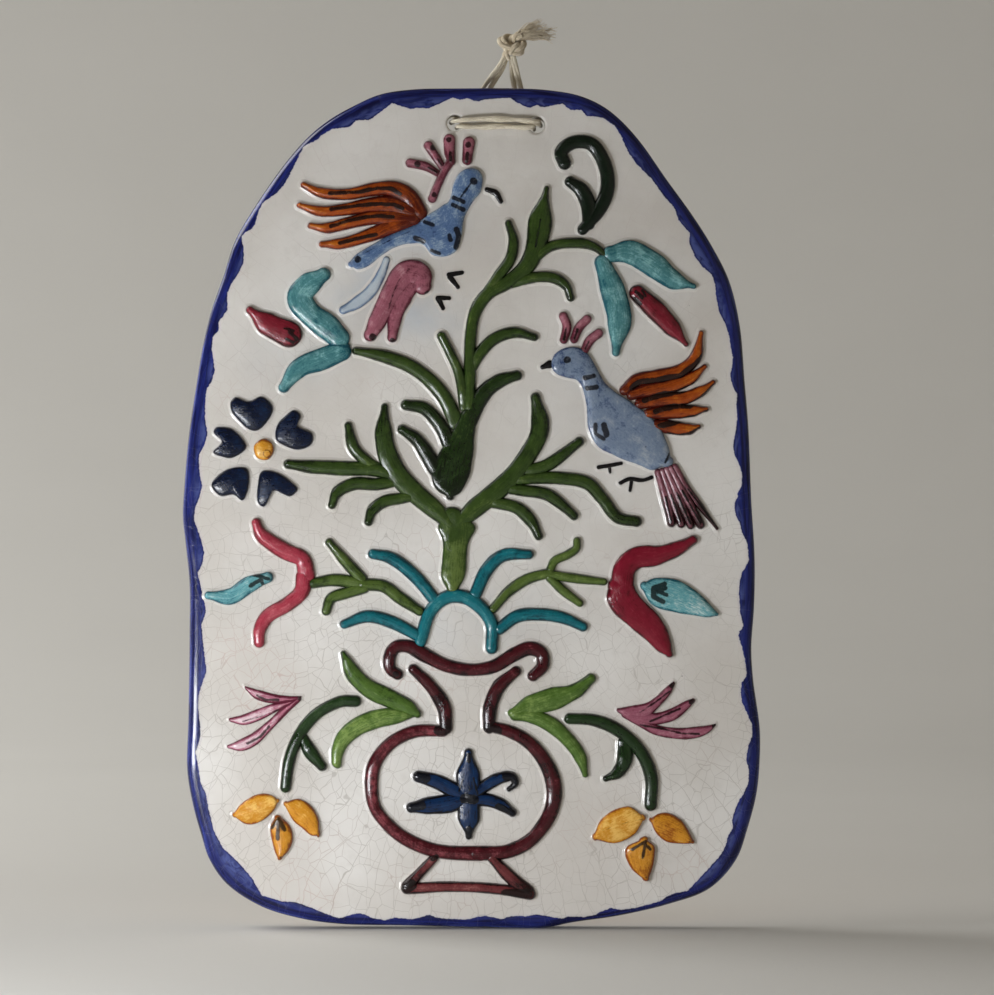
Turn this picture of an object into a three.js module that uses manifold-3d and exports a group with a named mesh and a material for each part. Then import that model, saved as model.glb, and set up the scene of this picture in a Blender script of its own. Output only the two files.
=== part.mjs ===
// Decorative wall plaque: a hand-built slab of glazed earthenware with a folk picture in raised relief,
// hung by a doubled cotton string through two holes. Millimetres; X right, Z up, the picture faces -Y.
// The origin is the middle of the flat back, which lies against the wall.
import * as THREE from "three";
import { mergeVertices } from "three/addons/utils/BufferGeometryUtils.js";
import Module from "manifold-3d";

const wasm = await Module();
wasm.setup();

// Driving dimensions of the slab
const SLAB_THICK = 9;
const EDGE_ROUND = 3.2;
const EDGE_STEPS = 3;
const OUTLINE_STEPS = 80;
const FRONT = -SLAB_THICK;

// The top of the back is eased forward, which leaves room for the string between the slab and the wall
const EASE_FROM = 122;
const EASE_ANGLE = THREE.MathUtils.degToRad(2.2);
const EASE_BLOCK = [300, 9, 80];

// Driving dimensions of the relief: coils and pads of clay pressed on the slab
const COIL_HEIGHT = 2.2;
const PAD_HEIGHT = 2.6;
const SHOULDER = 0.95;
const CORE_LEAST = 0.12;
const BLUNT = 1.4;
const SUNK = 0.1;
const STATION_STEP = 10;
const LEAST_STATIONS = 3;
const PAD_STEPS = 2;
const FUSED = 0.04;

// Driving dimensions of the string holes and the string
const HOLE_RADIUS = 2.9;
const HOLE_SIDES = 16;
const MOUTH_RADIUS = 3.7;
const MOUTH_DEPTH = 0.8;
const HOLE_LEFT = [-6.1, 137.5];
const HOLE_RIGHT = [23.1, 136.8];
const STRAND = 1.9;
const STRAND_SIDES = 8;
const STRAND_STEPS = 34;

// ---- solids

// A closed three.js geometry as a manifold solid.
function solidOf(geometry) {
  const bare = geometry.clone();
  bare.deleteAttribute("normal");
  bare.deleteAttribute("uv");
  const merged = mergeVertices(bare, 1e-4);
  const mesh = new wasm.Mesh({
    numProp: 3,
    vertProperties: new Float32Array(merged.attributes.position.array),
    triVerts: new Uint32Array(merged.index.array),
  });
  return new wasm.Manifold(mesh);
}

// A manifold solid as a three.js geometry.
function geometryOf(solid) {
  const mesh = solid.getMesh();
  const geometry = new THREE.BufferGeometry();
  geometry.setAttribute("position", new THREE.BufferAttribute(mesh.vertProperties, 3));
  geometry.setIndex(new THREE.BufferAttribute(mesh.triVerts, 1));
  geometry.computeVertexNormals();
  return geometry;
}

// A smooth curve through [x, z] points in the plane of the picture.
function curveThrough(points, closed = false) {
  const places = points.map(([x, z]) => new THREE.Vector3(x, z, 0));
  return new THREE.CatmullRomCurve3(places, closed, "centripetal");
}

// Stands an extrusion up: its outline moves into the XZ plane and its depth runs out of the front, -Y.
function standUp(geometry, y) {
  return geometry.rotateX(Math.PI / 2).translate(0, y, 0);
}

// ---- the slab

// The edge of the slab, clockwise from the left end of the top.
const SLAB_EDGE = [
  [-33, 148], [-21.5, 149.8], [-3, 150.2], [16.5, 150.2], [27, 149.6], [38, 147.7], [46.5, 144],
  [53, 139], [60, 131.3], [69.5, 117.8], [79, 104.6], [86, 93.5], [92, 81.4], [95.8, 65.7],
  [97.6, 45.4], [99, 28], [100, 2.7], [101.2, -18], [101, -35], [100, -50], [100.6, -61],
  [103, -79], [103, -90], [101.9, -102], [98.7, -114.6], [94.5, -126], [85, -136.3], [70.5, -141.8],
  [52.5, -146], [36, -148.4], [26.5, -150.2], [6, -150.2], [-23.5, -149.5], [-47, -149], [-61.5, -147],
  [-75.5, -142.7], [-88, -134.5], [-94.2, -125.6], [-97, -117], [-99.8, -107], [-102, -94], [-101.6, -75],
  [-101.2, -47], [-101.2, -27], [-102.7, -12], [-103.6, -3], [-103.2, 6], [-101.5, 25.5],
  [-98.7, 44.4], [-96.6, 57], [-93.4, 70.4], [-89, 83], [-85, 95.3], [-78.7, 106.4], [-66.6, 123.8],
  [-58.4, 133], [-51, 139], [-43, 143.6],
];

function slabSolid() {
  const edge = curveThrough(SLAB_EDGE, true).getSpacedPoints(OUTLINE_STEPS).slice(0, -1);
  const outline = new THREE.Shape(edge.reverse().map((p) => new THREE.Vector2(p.x, p.y)));
  const slab = new THREE.ExtrudeGeometry(outline, {
    depth: SLAB_THICK - 2 * EDGE_ROUND,
    bevelThickness: EDGE_ROUND,
    bevelSize: EDGE_ROUND,
    bevelOffset: -EDGE_ROUND,
    bevelSegments: EDGE_STEPS,
  });
  return solidOf(standUp(slab, -EDGE_ROUND));
}

// What is shaved off the top of the back: a block leaning forward from the line where the ease starts.
function easeSolid() {
  const [, deep, tall] = EASE_BLOCK;
  const block = new THREE.BoxGeometry(...EASE_BLOCK).translate(0, deep / 2, tall / 2);
  return solidOf(block.rotateX(EASE_ANGLE).translate(0, 0, EASE_FROM));
}

// A string hole with softened mouths, turned about the Y axis.
function holeSolid([x, z]) {
  const beyond = SLAB_THICK;
  const profile = [
    [0, -beyond], [MOUTH_RADIUS, -beyond], [MOUTH_RADIUS, 0], [HOLE_RADIUS, MOUTH_DEPTH],
    [HOLE_RADIUS, SLAB_THICK - MOUTH_DEPTH], [MOUTH_RADIUS, SLAB_THICK],
    [MOUTH_RADIUS, SLAB_THICK + beyond],
    [0, SLAB_THICK + beyond],
  ];
  const bore = new THREE.LatheGeometry(profile.map((p) => new THREE.Vector2(...p)), HOLE_SIDES);
  return solidOf(bore.translate(x, FRONT, z));
}

// ---- coils and pads of the relief

// The width at share t of a stroke, eased between the widths listed along it.
function widthAt(widths, t) {
  const place = t * (widths.length - 1);
  const before = Math.min(Math.floor(place), widths.length - 2);
  return THREE.MathUtils.lerp(widths[before], widths[before + 1],
    THREE.MathUtils.smoothstep(place - before, 0, 1));
}

// A pad pressed on the slab: an outline with a rounded shoulder down to the surface.
function pad(outline, height, steps) {
  const geometry = new THREE.ExtrudeGeometry(new THREE.Shape(outline), {
    depth: SUNK,
    bevelThickness: height,
    bevelSize: SHOULDER,
    bevelSegments: steps,
  });
  return solidOf(standUp(geometry, FRONT + 2 * SUNK));
}

// The round or pointed end of a stroke, from its right side over to its left.
function endCap(place, along, half) {
  const angles = half > BLUNT ? [-Math.PI / 3, 0, Math.PI / 3] : [0];
  return angles.map((angle) => {
    const forward = Math.cos(angle) * half;
    const aside = Math.sin(angle) * half;
    return new THREE.Vector2(
      place.x + along.x * forward - along.y * aside,
      place.y + along.y * forward + along.x * aside,
    );
  });
}

// A coil rolled out along a curve, with the widths given evenly along it.
function coil(points, widths, height = COIL_HEIGHT) {
  const spine = curveThrough(points);
  const stations = Math.max(LEAST_STATIONS, Math.round(spine.getLength() / STATION_STEP));
  const left = [];
  const right = [];
  let first;
  let last;
  for (let i = 0; i <= stations; i++) {
    const place = spine.getPointAt(i / stations);
    const along = spine.getTangentAt(i / stations);
    const half = Math.max(widthAt(widths, i / stations) / 2 - SHOULDER, CORE_LEAST);
    right.push(new THREE.Vector2(place.x + along.y * half, place.y - along.x * half));
    left.unshift(new THREE.Vector2(place.x - along.y * half, place.y + along.x * half));
    first = first ?? { place, along, half };
    last = { place, along, half };
  }
  const outline = [
    ...right,
    ...endCap(last.place, last.along, last.half),
    ...left,
    ...endCap(first.place, first.along.clone().negate(), first.half),
  ];
  return pad(outline, height, height === PAD_HEIGHT ? PAD_STEPS : 1);
}

// A heart with its point at [x, z] and its notch facing away along the angle, in degrees.
function heart([x, z], length, width, angle) {
  const half = width / 2 - SHOULDER;
  const tall = length - 2 * SHOULDER;
  const shape = new THREE.Shape();
  shape.moveTo(SHOULDER, 0);
  shape.bezierCurveTo(0.35 * tall, -0.75 * half, 0.5 * tall, -half, 0.75 * tall, -half);
  shape.bezierCurveTo(1.05 * tall, -half, 1.1 * tall, -0.2 * half, 0.8 * tall, 0);
  shape.bezierCurveTo(1.1 * tall, 0.2 * half, 1.05 * tall, half, 0.75 * tall, half);
  shape.bezierCurveTo(0.5 * tall, half, 0.35 * tall, 0.75 * half, SHOULDER, 0);
  const turn = THREE.MathUtils.degToRad(angle);
  const outline = shape.getPoints(3).slice(0, -1).map((p) => {
    const across = p.x * Math.cos(turn) - p.y * Math.sin(turn);
    const up = p.x * Math.sin(turn) + p.y * Math.cos(turn);
    return new THREE.Vector2(x + across, z + up);
  });
  return pad(outline, COIL_HEIGHT, 1);
}

// ---- the picture, motif by motif

function leftBird() {
  const body = [
    coil([[0.6, 117.5], [-2.4, 112.6], [-6.4, 106.5], [-9.4, 99], [-16, 93.6], [-27, 91.5], [-43, 88.3]],
      [9, 11, 8.5, 11, 9.5, 6.5, 4.6], PAD_HEIGHT),
    coil([[-6, 107], [-6.6, 99], [-8.8, 91]], [8, 10, 7], PAD_HEIGHT),
  ];
  const wing = [
    coil([[-60.2, 115.3], [-54.2, 112.4], [-44.5, 111.7], [-35, 114.9], [-27.8, 116], [-21.7, 114.2],
      [-17.4, 107]],
      [3, 4.2, 4.6, 5, 5]),
    coil([[-62, 108.1], [-54.2, 105.8], [-44.5, 106], [-35, 108.5], [-27.8, 109.2], [-21, 106]],
      [3, 4.4, 4.6, 5, 5]),
    coil([[-58, 100.7], [-52, 99.8], [-44.5, 100.3], [-35, 103.1], [-21, 104]], [3, 4.4, 4.6, 5, 5]),
    coil([[-53.8, 94], [-47, 94], [-37.4, 96.4], [-30, 100.3], [-21, 103]], [3, 4.4, 4.6, 5, 5]),
  ];
  const crest = [
    coil([[-22.1, 123.1], [-15, 120.6], [-13.5, 116.5]], [4, 4.2, 4]),
    coil([[-15.3, 129.5], [-12.8, 123.6], [-13, 117.5]], [4, 4.2, 4.4]),
    coil([[-7.5, 132], [-8.9, 124.5], [-12.4, 117.5], [-14.3, 109.6]], [4.2, 4.4, 5, 4.2]),
    coil([[-1.1, 130.9], [-1.8, 123.1]], [4.2, 4.6]),
  ];
  const beak = coil([[5.3, 113.5], [8.2, 112.2], [10, 108.8]], [1.8, 2.6, 2], 1.4);
  const legs = [
    coil([[-17.1, 77.4], [-15.3, 82.5], [-20.3, 87.2], [-26.4, 85.5], [-32.5, 74], [-36.4, 62]],
      [5, 6, 7, 6.5, 5, 4.6]),
    coil([[-22.5, 81], [-26, 71], [-28.5, 60.9]], [5.5, 4.6, 4.2]),
    coil([[-29.9, 89.3], [-37.5, 80.5], [-47, 70.4]], [4, 4.6, 3.4], 1.5),
  ];
  return [...body, ...wing, ...crest, beak, ...legs];
}

function rightBird() {
  const body = coil([[33.6, 53], [39.5, 48], [46, 40], [53, 28.6], [62, 19.6], [69, 13.6]],
    [9.6, 9.6, 13, 20.2, 17, 11], PAD_HEIGHT);
  const beak = coil([[24.6, 50.4], [29.5, 51.6]], [1.6, 2.4], 1.4);
  const crest = [
    coil([[32.9, 69], [33.6, 58.5]], [3.6, 3.4]),
    coil([[41.4, 67.4], [36.6, 58.5]], [3.8, 3.4]),
    coil([[45.5, 62.6], [40, 56.4]], [3.8, 3.4]),
  ];
  const wingTips = [
    [[56, 43.5], [64.1, 47.6], [75, 50.6], [81.8, 55.8], [82, 63]],
    [[57, 40.8], [66, 43.2], [76.5, 44.6], [83.6, 50.6]],
    [[58.5, 37.5], [68, 39], [78, 39.6], [86, 44.6]],
    [[61, 33.8], [71, 34], [84.6, 34.6]],
    [[64, 29.6], [72, 28.6], [81.4, 28.4]],
  ];
  const wing = wingTips.map((spine) => coil(spine, [4.6, 5.2, 5, 2.2]));
  const tail = [[72, -6.6], [77.4, -7.4], [82, -7], [87.8, -7.8]].map((tip, place) =>
    coil([[65.6 + 2 * place, 15.6 + 0.4 * place], [68 + 3.4 * place, 4], tip], [3.4, 4, 3.2]));
  const feet = [
    coil([[45, 14.4], [49.6, 14.9], [53.4, 17]], [1.8, 2.2, 2], 1.3),
    coil([[52.7, 8.7], [58.8, 10.4], [65, 12]], [1.8, 2.2, 2], 1.3),
  ];
  return [body, beak, ...crest, ...wing, ...tail, ...feet];
}

// A tulip seen from the side: two open petals and the bud between them.
function tulip(upper, upperWidths, lower, lowerWidths, bud, budWidths) {
  return [
    coil(upper, upperWidths, PAD_HEIGHT),
    coil(lower, lowerWidths, PAD_HEIGHT),
    coil(bud, budWidths, PAD_HEIGHT),
  ];
}

function tulips() {
  const upperLeft = tulip(
    [[-53, 83.4], [-59.3, 78.9], [-61.4, 74.8], [-58, 69.6], [-52.4, 65.2], [-47.6, 60.6]],
    [5, 8.6, 9.4, 8.6, 9.4, 8],
    [[-46.7, 56], [-54.2, 52.9], [-61.6, 50], [-67.2, 43]], [7.4, 8, 7, 4],
    [[-79.3, 70.6], [-73, 65.6], [-65.4, 62]], [3, 8.2, 9.6]);
  const upperRight = tulip(
    [[49.4, 90.6], [56, 91.2], [63.4, 87.6], [71.6, 81.6], [79.1, 79.1]], [6, 9, 8.8, 7, 2],
    [[46.7, 87.5], [49.9, 78.6], [52.4, 68.9], [51.3, 55.5]], [6, 8.8, 8.6, 3],
    [[59, 76.6], [63.8, 72.2], [70.2, 65.7], [76.4, 58.4]], [6, 7.2, 6.6, 2]);
  const middleLeft = tulip(
    [[-77, -5.4], [-75.4, -9.4], [-72, -12.3], [-65.9, -15.9], [-60.6, -18.4], [-59, -24]],
    [3.6, 5.4, 6, 6, 6.4],
    [[-60, -24.6], [-60.8, -29.6], [-65.9, -34.4], [-73, -38.7], [-75.9, -43.8], [-76, -48]],
    [6, 5.4, 5.3, 5, 4],
    [[-94.1, -31.2], [-86, -31.6], [-79.6, -27.4], [-73, -24.8]], [3, 6, 6, 4]);
  const middleRight = tulip(
    [[78.8, -11.4], [73.4, -14.4], [65.9, -17], [58.6, -18], [54.6, -21.6], [53.6, -30]],
    [3.4, 6, 7.8, 8, 8.4],
    [[52.4, -31], [57, -34.4], [63.4, -40.6], [67.5, -45.6], [70, -50.6]], [8.4, 8, 7.4, 3],
    [[63.4, -28.4], [68.6, -29.6], [75, -32.4], [86.4, -37.6]], [6, 10, 9.4, 2.4]);
  return [...upperLeft, ...upperRight, ...middleLeft, ...middleRight];
}

function heartFlower() {
  const middle = [-74.5, 20.8];
  const petals = [[107.6, 13.5, 12.6], [31.8, 13.3, 12.6], [169, 12.5, 11], [225.7, 17.3, 12],
    [290.4, 14.9, 12.2]];
  const ball = coil([[middle[0], middle[1] - 0.4], [middle[0], middle[1] + 0.4]], [7, 7], PAD_HEIGHT);
  const hearts = petals.map(([angle, reach, size]) => {
    const turn = THREE.MathUtils.degToRad(angle);
    const inner = reach - size / 2;
    return heart([middle[0] + inner * Math.cos(turn), middle[1] + inner * Math.sin(turn)], size, size,
      angle);
  });
  return [ball, ...hearts];
}

function tree() {
  const trunk = coil([[-7.5, -29], [-6.6, -14], [-6.4, 1]], [6, 8.6, 8]);
  const left = [
    coil([[-7, 0], [-13.9, 4.8], [-22.1, 7.7], [-29.2, 15.5], [-31.6, 25], [-31.2, 36]],
      [5.4, 6.4, 7, 7.2, 6.4, 2]),
    coil([[-26, 11], [-34, 13.6], [-48, 14.1], [-57, 14.6], [-65.6, 15.6]], [4, 5, 5.4, 5, 3.4]),
    coil([[-33, 13.6], [-37.4, 16.4], [-42.2, 21.6], [-44.2, 29.4]], [4.4, 4.4, 4.4, 2]),
    coil([[-26, 9.6], [-34.2, 8.4], [-42.4, 8.6], [-48.2, 5.5], [-50, 1]], [3.6, 4.4, 4.6, 4.4, 3]),
    coil([[-18, 5], [-25.7, 3.4], [-31.4, 2.3], [-35.6, -0.9], [-37, -5]], [3.6, 4.2, 4.4, 4.2, 3]),
  ];
  const right = [
    coil([[-6, 0], [3.2, 5.5], [12.1, 10.5], [19.6, 18.3], [24.2, 27.3], [23, 39.4]],
      [5.4, 5.6, 6, 6.2, 6.4, 2]),
    coil([[17, 12.6], [27, 15], [38.2, 23.6]], [3.4, 4.2, 3]),
    coil([[13, 9.6], [22, 10.6], [32.8, 10.5], [41.4, 8.6], [46.4, 3.4], [52, -3.4], [58.6, -4.8]],
      [3.4, 4.2, 4.4, 4.2, 3.4]),
    coil([[10.6, 7], [17.8, 6.2], [26.7, 4.8], [32.8, 0.5], [36.4, -2.8]], [3, 4, 4.2, 2.6]),
    coil([[2, 3.4], [8.9, 2.2], [16.7, 0], [21.4, -5.2], [23.8, -10]], [3, 4, 4.4, 2.8]),
  ];
  const middle = [
    coil([[-6.4, 4.4], [-5.4, 13.7], [-2.4, 24], [-0.6, 32]], [2.4, 9.4, 10.4, 5.6]),
    coil([[-3, 27], [1.6, 39], [8.4, 45], [15.6, 47.1]], [6, 5.6, 5.4, 3.4]),
    coil([[-5.4, 18], [-9.6, 24], [-12.6, 31], [-17.5, 35.4], [-23.6, 36.8]], [6, 5.4, 5, 4.8, 3.4]),
    coil([[-6.6, 8], [-11, 13.4], [-14.6, 19], [-19.2, 24.6], [-25, 28.2]], [4, 5.6, 5.4, 4.6, 3]),
    coil([[-5.4, 30], [-10.8, 40.8], [-20.3, 49.6], [-31.4, 54], [-41.4, 56]], [5.6, 5.4, 5, 4.8, 3]),
    coil([[-2.6, 36], [-4.6, 48], [-7.6, 55], [-10.9, 62]], [4, 3.8, 3.4, 2.6]),
  ];
  const upper = [
    coil([[-0.9, 36], [-0.8, 50], [-0.6, 60], [1.2, 70], [5.6, 76.4], [14, 81.4], [20, 87],
      [23.2, 95], [24.6, 104], [26.6, 114]],
      [4, 4.4, 4.4, 4.6, 5, 6.4, 8.8, 2]),
    coil([[4.4, 76], [9.3, 82.6], [13.6, 88.6], [14.8, 95.3], [13, 101.6]], [3.4, 4, 4, 2.6]),
    coil([[20.6, 87.4], [28.1, 93.4], [36.7, 94.6], [42.8, 93.6], [47.4, 90.6]], [3.6, 3.8, 3.8, 2.8]),
    coil([[14, 80], [23.2, 82.4], [29.4, 82], [33.6, 79.2], [35.2, 75]], [3.4, 3.9, 3.9, 2.8]),
    coil([[-0.9, 48.6], [3, 55.4], [8.4, 60.6], [15.3, 62.6], [22.2, 61]], [4, 4.3, 4.3, 3]),
  ];
  return [trunk, ...left, ...right, ...middle, ...upper];
}

function scroll() {
  return [
    coil([[33.8, 120.4], [32.4, 126.4], [36.7, 130.8], [42.4, 130], [46.4, 124.9], [48.4, 117.8],
      [47.6, 111], [44, 104.6], [39.6, 99.4]],
      [4.6, 5, 5.2, 5.2, 4]),
    coil([[35, 116.4], [39, 113.4], [41.6, 107.6], [41.6, 101.4]], [4, 5.4, 5.6, 4.6]),
  ];
}

function sprays() {
  const left = [
    coil([[-51, -12.3], [-46.7, -17.3], [-39.5, -25.4]], [3, 4.2, 4.4]),
    coil([[-56.6, -26.9], [-49, -25.8], [-39.5, -27]], [4, 4.6, 4.6]),
    coil([[-52, -36.8], [-50.4, -32.4], [-45, -30.4], [-38.5, -28.4]], [3.4, 4.4, 4.4]),
    coil([[-39, -27.4], [-31.7, -28], [-25.7, -32.2], [-18.7, -36.8]], [4.6, 4.6, 4.6, 3.6]),
  ];
  const right = [
    coil([[7.6, -36], [13.2, -29.8], [20.3, -25.2], [28, -23.2]], [3.4, 4, 3.8]),
    coil([[28, -22], [29.4, -19], [34, -16.8], [37.2, -14.4], [37.4, -11.8]], [3, 3.2, 3.2, 2.8]),
    coil([[27, -23.6], [36, -25.1], [47, -26.4]], [3.4, 3.6, 2.8]),
    coil([[27.6, -24.8], [32.6, -29.6], [38.4, -34]], [3.2, 3.4, 2.8]),
  ];
  return [...left, ...right];
}

function fountain() {
  return [
    coil([[-35.4, -16.4], [-29.2, -17.8], [-20.7, -24.1], [-13.6, -32.4]], [3.6, 4.6, 4.8, 4.6]),
    coil([[20.3, -16.6], [11.2, -17], [5.4, -22], [1.2, -30.6]], [3.6, 4.6, 4.8, 4.6]),
    coil([[-18.4, -47.6], [-14.6, -36.6], [-9.3, -32], [-3.6, -31.6], [1.8, -34.4], [6.9, -41.2], [7, -50]],
      [4.6, 4.8, 5, 4.8, 4.6]),
    coil([[-20, -45.2], [-29, -40.6], [-37.6, -38.8], [-45.6, -41.6]], [4.4, 4.6, 4.4, 3.4]),
    coil([[9.8, -43.2], [16, -38.8], [24.6, -38], [33, -39.4], [39.6, -42.4]], [4.2, 4.6, 4.6, 3.6]),
  ];
}

function vase() {
  return [
    coil([[-25.3, -58.6], [-29, -57], [-29.4, -52.6], [-26.6, -50], [-22.6, -50.2], [-16.4, -53.4],
      [-8.2, -57], [-0.4, -58.2],
      [7.6, -56.8], [16, -52.4], [20.8, -50.4], [24.6, -51.8], [25.2, -56.4], [22, -60]],
      [4, 4.6, 4.6, 4.8, 4.6, 4.6, 4]),
    coil([[-20.6, -58.4], [-15, -62.6], [-10.2, -70], [-9.4, -78]], [3.8, 4.2, 4.4]),
    coil([[15.6, -58.4], [9.4, -64], [6.6, -70.7], [6.4, -78]], [3.8, 4.2, 4.4]),
    coil([[-9.4, -78.4], [-20.3, -79.4], [-29.2, -83.6], [-34.2, -90.3], [-35.4, -99.2], [-34, -107],
      [-28, -115.3], [-18.6, -120.8],
      [-8.6, -123.2], [3.2, -123.6], [13.9, -123], [21.2, -119.4], [28, -111], [29.4, -101],
      [26.4, -91], [19.8, -83],
      [12.4, -79.4], [6.2, -78]], [4.4, 5, 5.8, 5.4, 5, 5.4, 5.8, 5, 4.4]),
    coil([[-13.8, -124.6], [-18.4, -130], [-23.4, -136]], [4, 3.8, 4]),
    coil([[8, -125], [13.4, -131.4], [20.4, -138]], [4, 3.8, 4]),
    coil([[-23.2, -136.6], [-5.7, -135.9], [8.9, -136.6], [21, -138.2]], [3.6, 3.9, 3.9, 3.6]),
  ];
}

function vaseFlower() {
  const middle = [-1.1, -103.2];
  const tips = [[-1.4, -87.1], [-19.2, -95.3], [-22.6, -107.2], [15.7, -95.7], [15, -108.9],
    [-1.1, -117.6]];
  return tips.map((tip) => {
    const between = [0.55 * middle[0] + 0.45 * tip[0], 0.55 * middle[1] + 0.45 * tip[1]];
    return coil([middle, between, tip], [5, 7.6, 2]);
  });
}

function vaseLeaves() {
  return [
    coil([[-46, -52], [-41.7, -61.1], [-34.2, -67.2], [-19.8, -73.2]], [2, 6.6, 7, 3]),
    coil([[-20.6, -73.8], [-29.2, -74], [-39.2, -77.6], [-46, -83], [-48, -90.4]], [3, 6, 6, 2.4]),
    coil([[15.2, -73.6], [24.6, -68.6], [33.1, -66.4], [41.8, -61.4]], [3, 7, 6.8, 2]),
    coil([[16.4, -73.8], [24.6, -75.4], [33.1, -81], [38.8, -88], [40.2, -94.2]], [3, 6, 5.6, 2.4]),
    coil([[-39.8, -68.8], [-46.7, -69], [-55.2, -73.4], [-61.6, -81], [-65.2, -90], [-66.6, -101]],
      [3.4, 4, 4, 3.8]),
    coil([[-60, -80.6], [-57.7, -87.1], [-53.4, -92]], [3, 4.4, 2]),
    coil([[33.8, -75], [43.8, -75.8], [52.7, -79.8], [60.2, -87.2], [63.8, -96], [63.9, -107.6]],
      [3.4, 4, 4, 3.8]),
    coil([[54, -83.2], [53.6, -89.6], [47.8, -96]], [3, 4.4, 2]),
  ];
}

function pinkFlowers() {
  const left = [[-61.6, -67.8], [[-71.6, -67], [-80.4, -64.2]], [[-74.1, -72], [-86, -75.8]],
    [[-72, -77.4], [-87, -85.4]]];
  const right = [[52, -72.3], [[63.6, -69], [71.8, -62.8]], [[66, -73], [78.2, -69.4]], [[65, -79.8],
    [86.6, -78.2]]];
  return [left, right].flatMap(([root, ...prongs]) =>
    prongs.map((prong) => coil([root, ...prong], [2.6, 5, 3], 1.8)));
}

function amberFlowers() {
  return [
    coil([[-85, -109.4], [-77, -107.6], [-69, -104.8]], [4, 9.8, 4], PAD_HEIGHT),
    coil([[-67.4, -105.8], [-61.6, -110.4], [-55.2, -116.6]], [4, 9.4, 5], PAD_HEIGHT),
    coil([[-69.1, -110.6], [-68.8, -117.4], [-68.4, -125.2]], [6, 7.6, 4], PAD_HEIGHT),
    coil([[43.8, -117], [53, -114.6], [61.8, -110.8]], [5, 10, 5], PAD_HEIGHT),
    coil([[62.9, -110.8], [71, -114], [79.2, -118.8]], [5, 10, 5], PAD_HEIGHT),
    coil([[61.3, -117.6], [60.6, -125], [59.9, -132.4]], [6, 8.4, 4], PAD_HEIGHT),
  ];
}

function plaqueSolid() {
  const relief = [
    leftBird(), rightBird(), tulips(), heartFlower(), tree(), scroll(), sprays(), fountain(), vase(),
      vaseFlower(),
    vaseLeaves(), pinkFlowers(), amberFlowers(),
  ].flat();
  const clay = relief.reduce((whole, piece) => whole.add(piece), slabSolid());
  const cuts = [easeSolid(), holeSolid(HOLE_LEFT), holeSolid(HOLE_RIGHT)];
  return cuts.reduce((whole, cut) => whole.subtract(cut), clay).simplify(FUSED);
}

// ---- the string: two cotton strands side by side, each from the knot down behind the slab, through the
// left hole, across the front, back through the right hole and up to the knot again

const BEHIND = 0.7;
const ACROSS = FRONT - 1.5;

const STRAND_ROUTES = {
  string_strand_1: [
    [12, 1.3, 162.7], [9.8, 1.2, 159], [6.2, 1, 154.4], [2.9, BEHIND, 149.8], [-1, BEHIND, 145.4],
    [-4.6, BEHIND, 141.4], [-6.9, 0, 139.2], [-7.2, -2.5, 138.3], [-6.9, -6.2, 138.2], [-5.6, -9.2, 138.2],
    [-2.2, ACROSS, 138.4], [3.2, ACROSS, 138.7], [9, ACROSS, 138.7], [14.6, ACROSS, 138.5],
    [19.6, ACROSS, 138],
    [22.6, -9.2, 137.6], [24, -6.2, 137.4], [24.4, -2.5, 137.4], [24.2, 0, 138.2], [22.9, BEHIND, 140.8],
    [20.6, BEHIND, 145], [18, BEHIND, 149.8], [16.5, 1, 154.4], [15.4, 1.2, 159], [14.5, 1.3, 162.7],
  ],
  string_strand_2: [
    [12, 3.6, 162.7], [10.9, 3.4, 159], [8.4, 2, 154.4], [5, BEHIND, 148.8], [1, BEHIND, 143.8],
    [-2.6, BEHIND, 139.4], [-4.7, 0.1, 137.2], [-5.1, -2.5, 136.6], [-4.9, -6.2, 136.4],
    [-4.3, -9.5, 136.3],
    [-1, ACROSS, 135.9], [4, ACROSS, 135.8], [9, ACROSS, 136.1], [14, ACROSS, 135.9], [18.2, ACROSS, 135.6],
    [21.2, -9.6, 135.9], [22, -6.2, 136], [22.2, -2.5, 136.2], [21.9, 0, 137], [20.6, BEHIND, 139.8],
    [18.4, BEHIND, 144], [15.8, BEHIND, 148.8], [14.7, 2, 154.4], [14.4, 3.4, 159], [14.4, 3.6, 162.7],
  ],
};

const KNOT_MIDDLE = [13.9, 2.3, 166.8];
const KNOT_HALF = [4.6, 3.2, 4.1];
const TUFT_ENDS = [[22.8, 1.2, 175.2], [27.4, 0.8, 173.8], [30.4, 2, 170.6], [28.6, 3, 167.4]];
const TUFT_STRAND = 2.6;

// A round tube along a route of [x, y, z] points.
function tube(route, diameter, steps) {
  const path = new THREE.CatmullRomCurve3(route.map((p) => new THREE.Vector3(...p)), false, "centripetal");
  const section = new THREE.Shape();
  for (let i = 0; i < STRAND_SIDES; i++) {
    const angle = (2 * Math.PI * i) / STRAND_SIDES;
    const place = [0.5 * diameter * Math.cos(angle), 0.5 * diameter * Math.sin(angle)];
    if (i === 0) section.moveTo(...place);
    else section.lineTo(...place);
  }
  section.closePath();
  return new THREE.ExtrudeGeometry(section, { steps, extrudePath: path, bevelEnabled: false });
}

// The knot and the frayed tuft of its four ends, which come out at its upper right.
function knotSolid() {
  const ball = new THREE.SphereGeometry(1, 10, 7);
  const knot = solidOf(ball.scale(...KNOT_HALF).translate(...KNOT_MIDDLE));
  return TUFT_ENDS.reduce((whole, end) => {
    const middle = [0.55 * KNOT_MIDDLE[0] + 0.45 * end[0], KNOT_MIDDLE[1],
      0.5 * (KNOT_MIDDLE[2] + end[2]) + 0.4];
    return whole.add(solidOf(tube([KNOT_MIDDLE, middle, end], TUFT_STRAND, 3)));
  }, knot);
}

// ---- the pieces in their materials

const GLAZE = new THREE.MeshStandardMaterial({ color: "#d8d2c6", roughness: 0.18, metalness: 0 });
const COTTON = new THREE.MeshStandardMaterial({ color: "#cfc8b4", roughness: 0.95, metalness: 0 });

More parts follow.
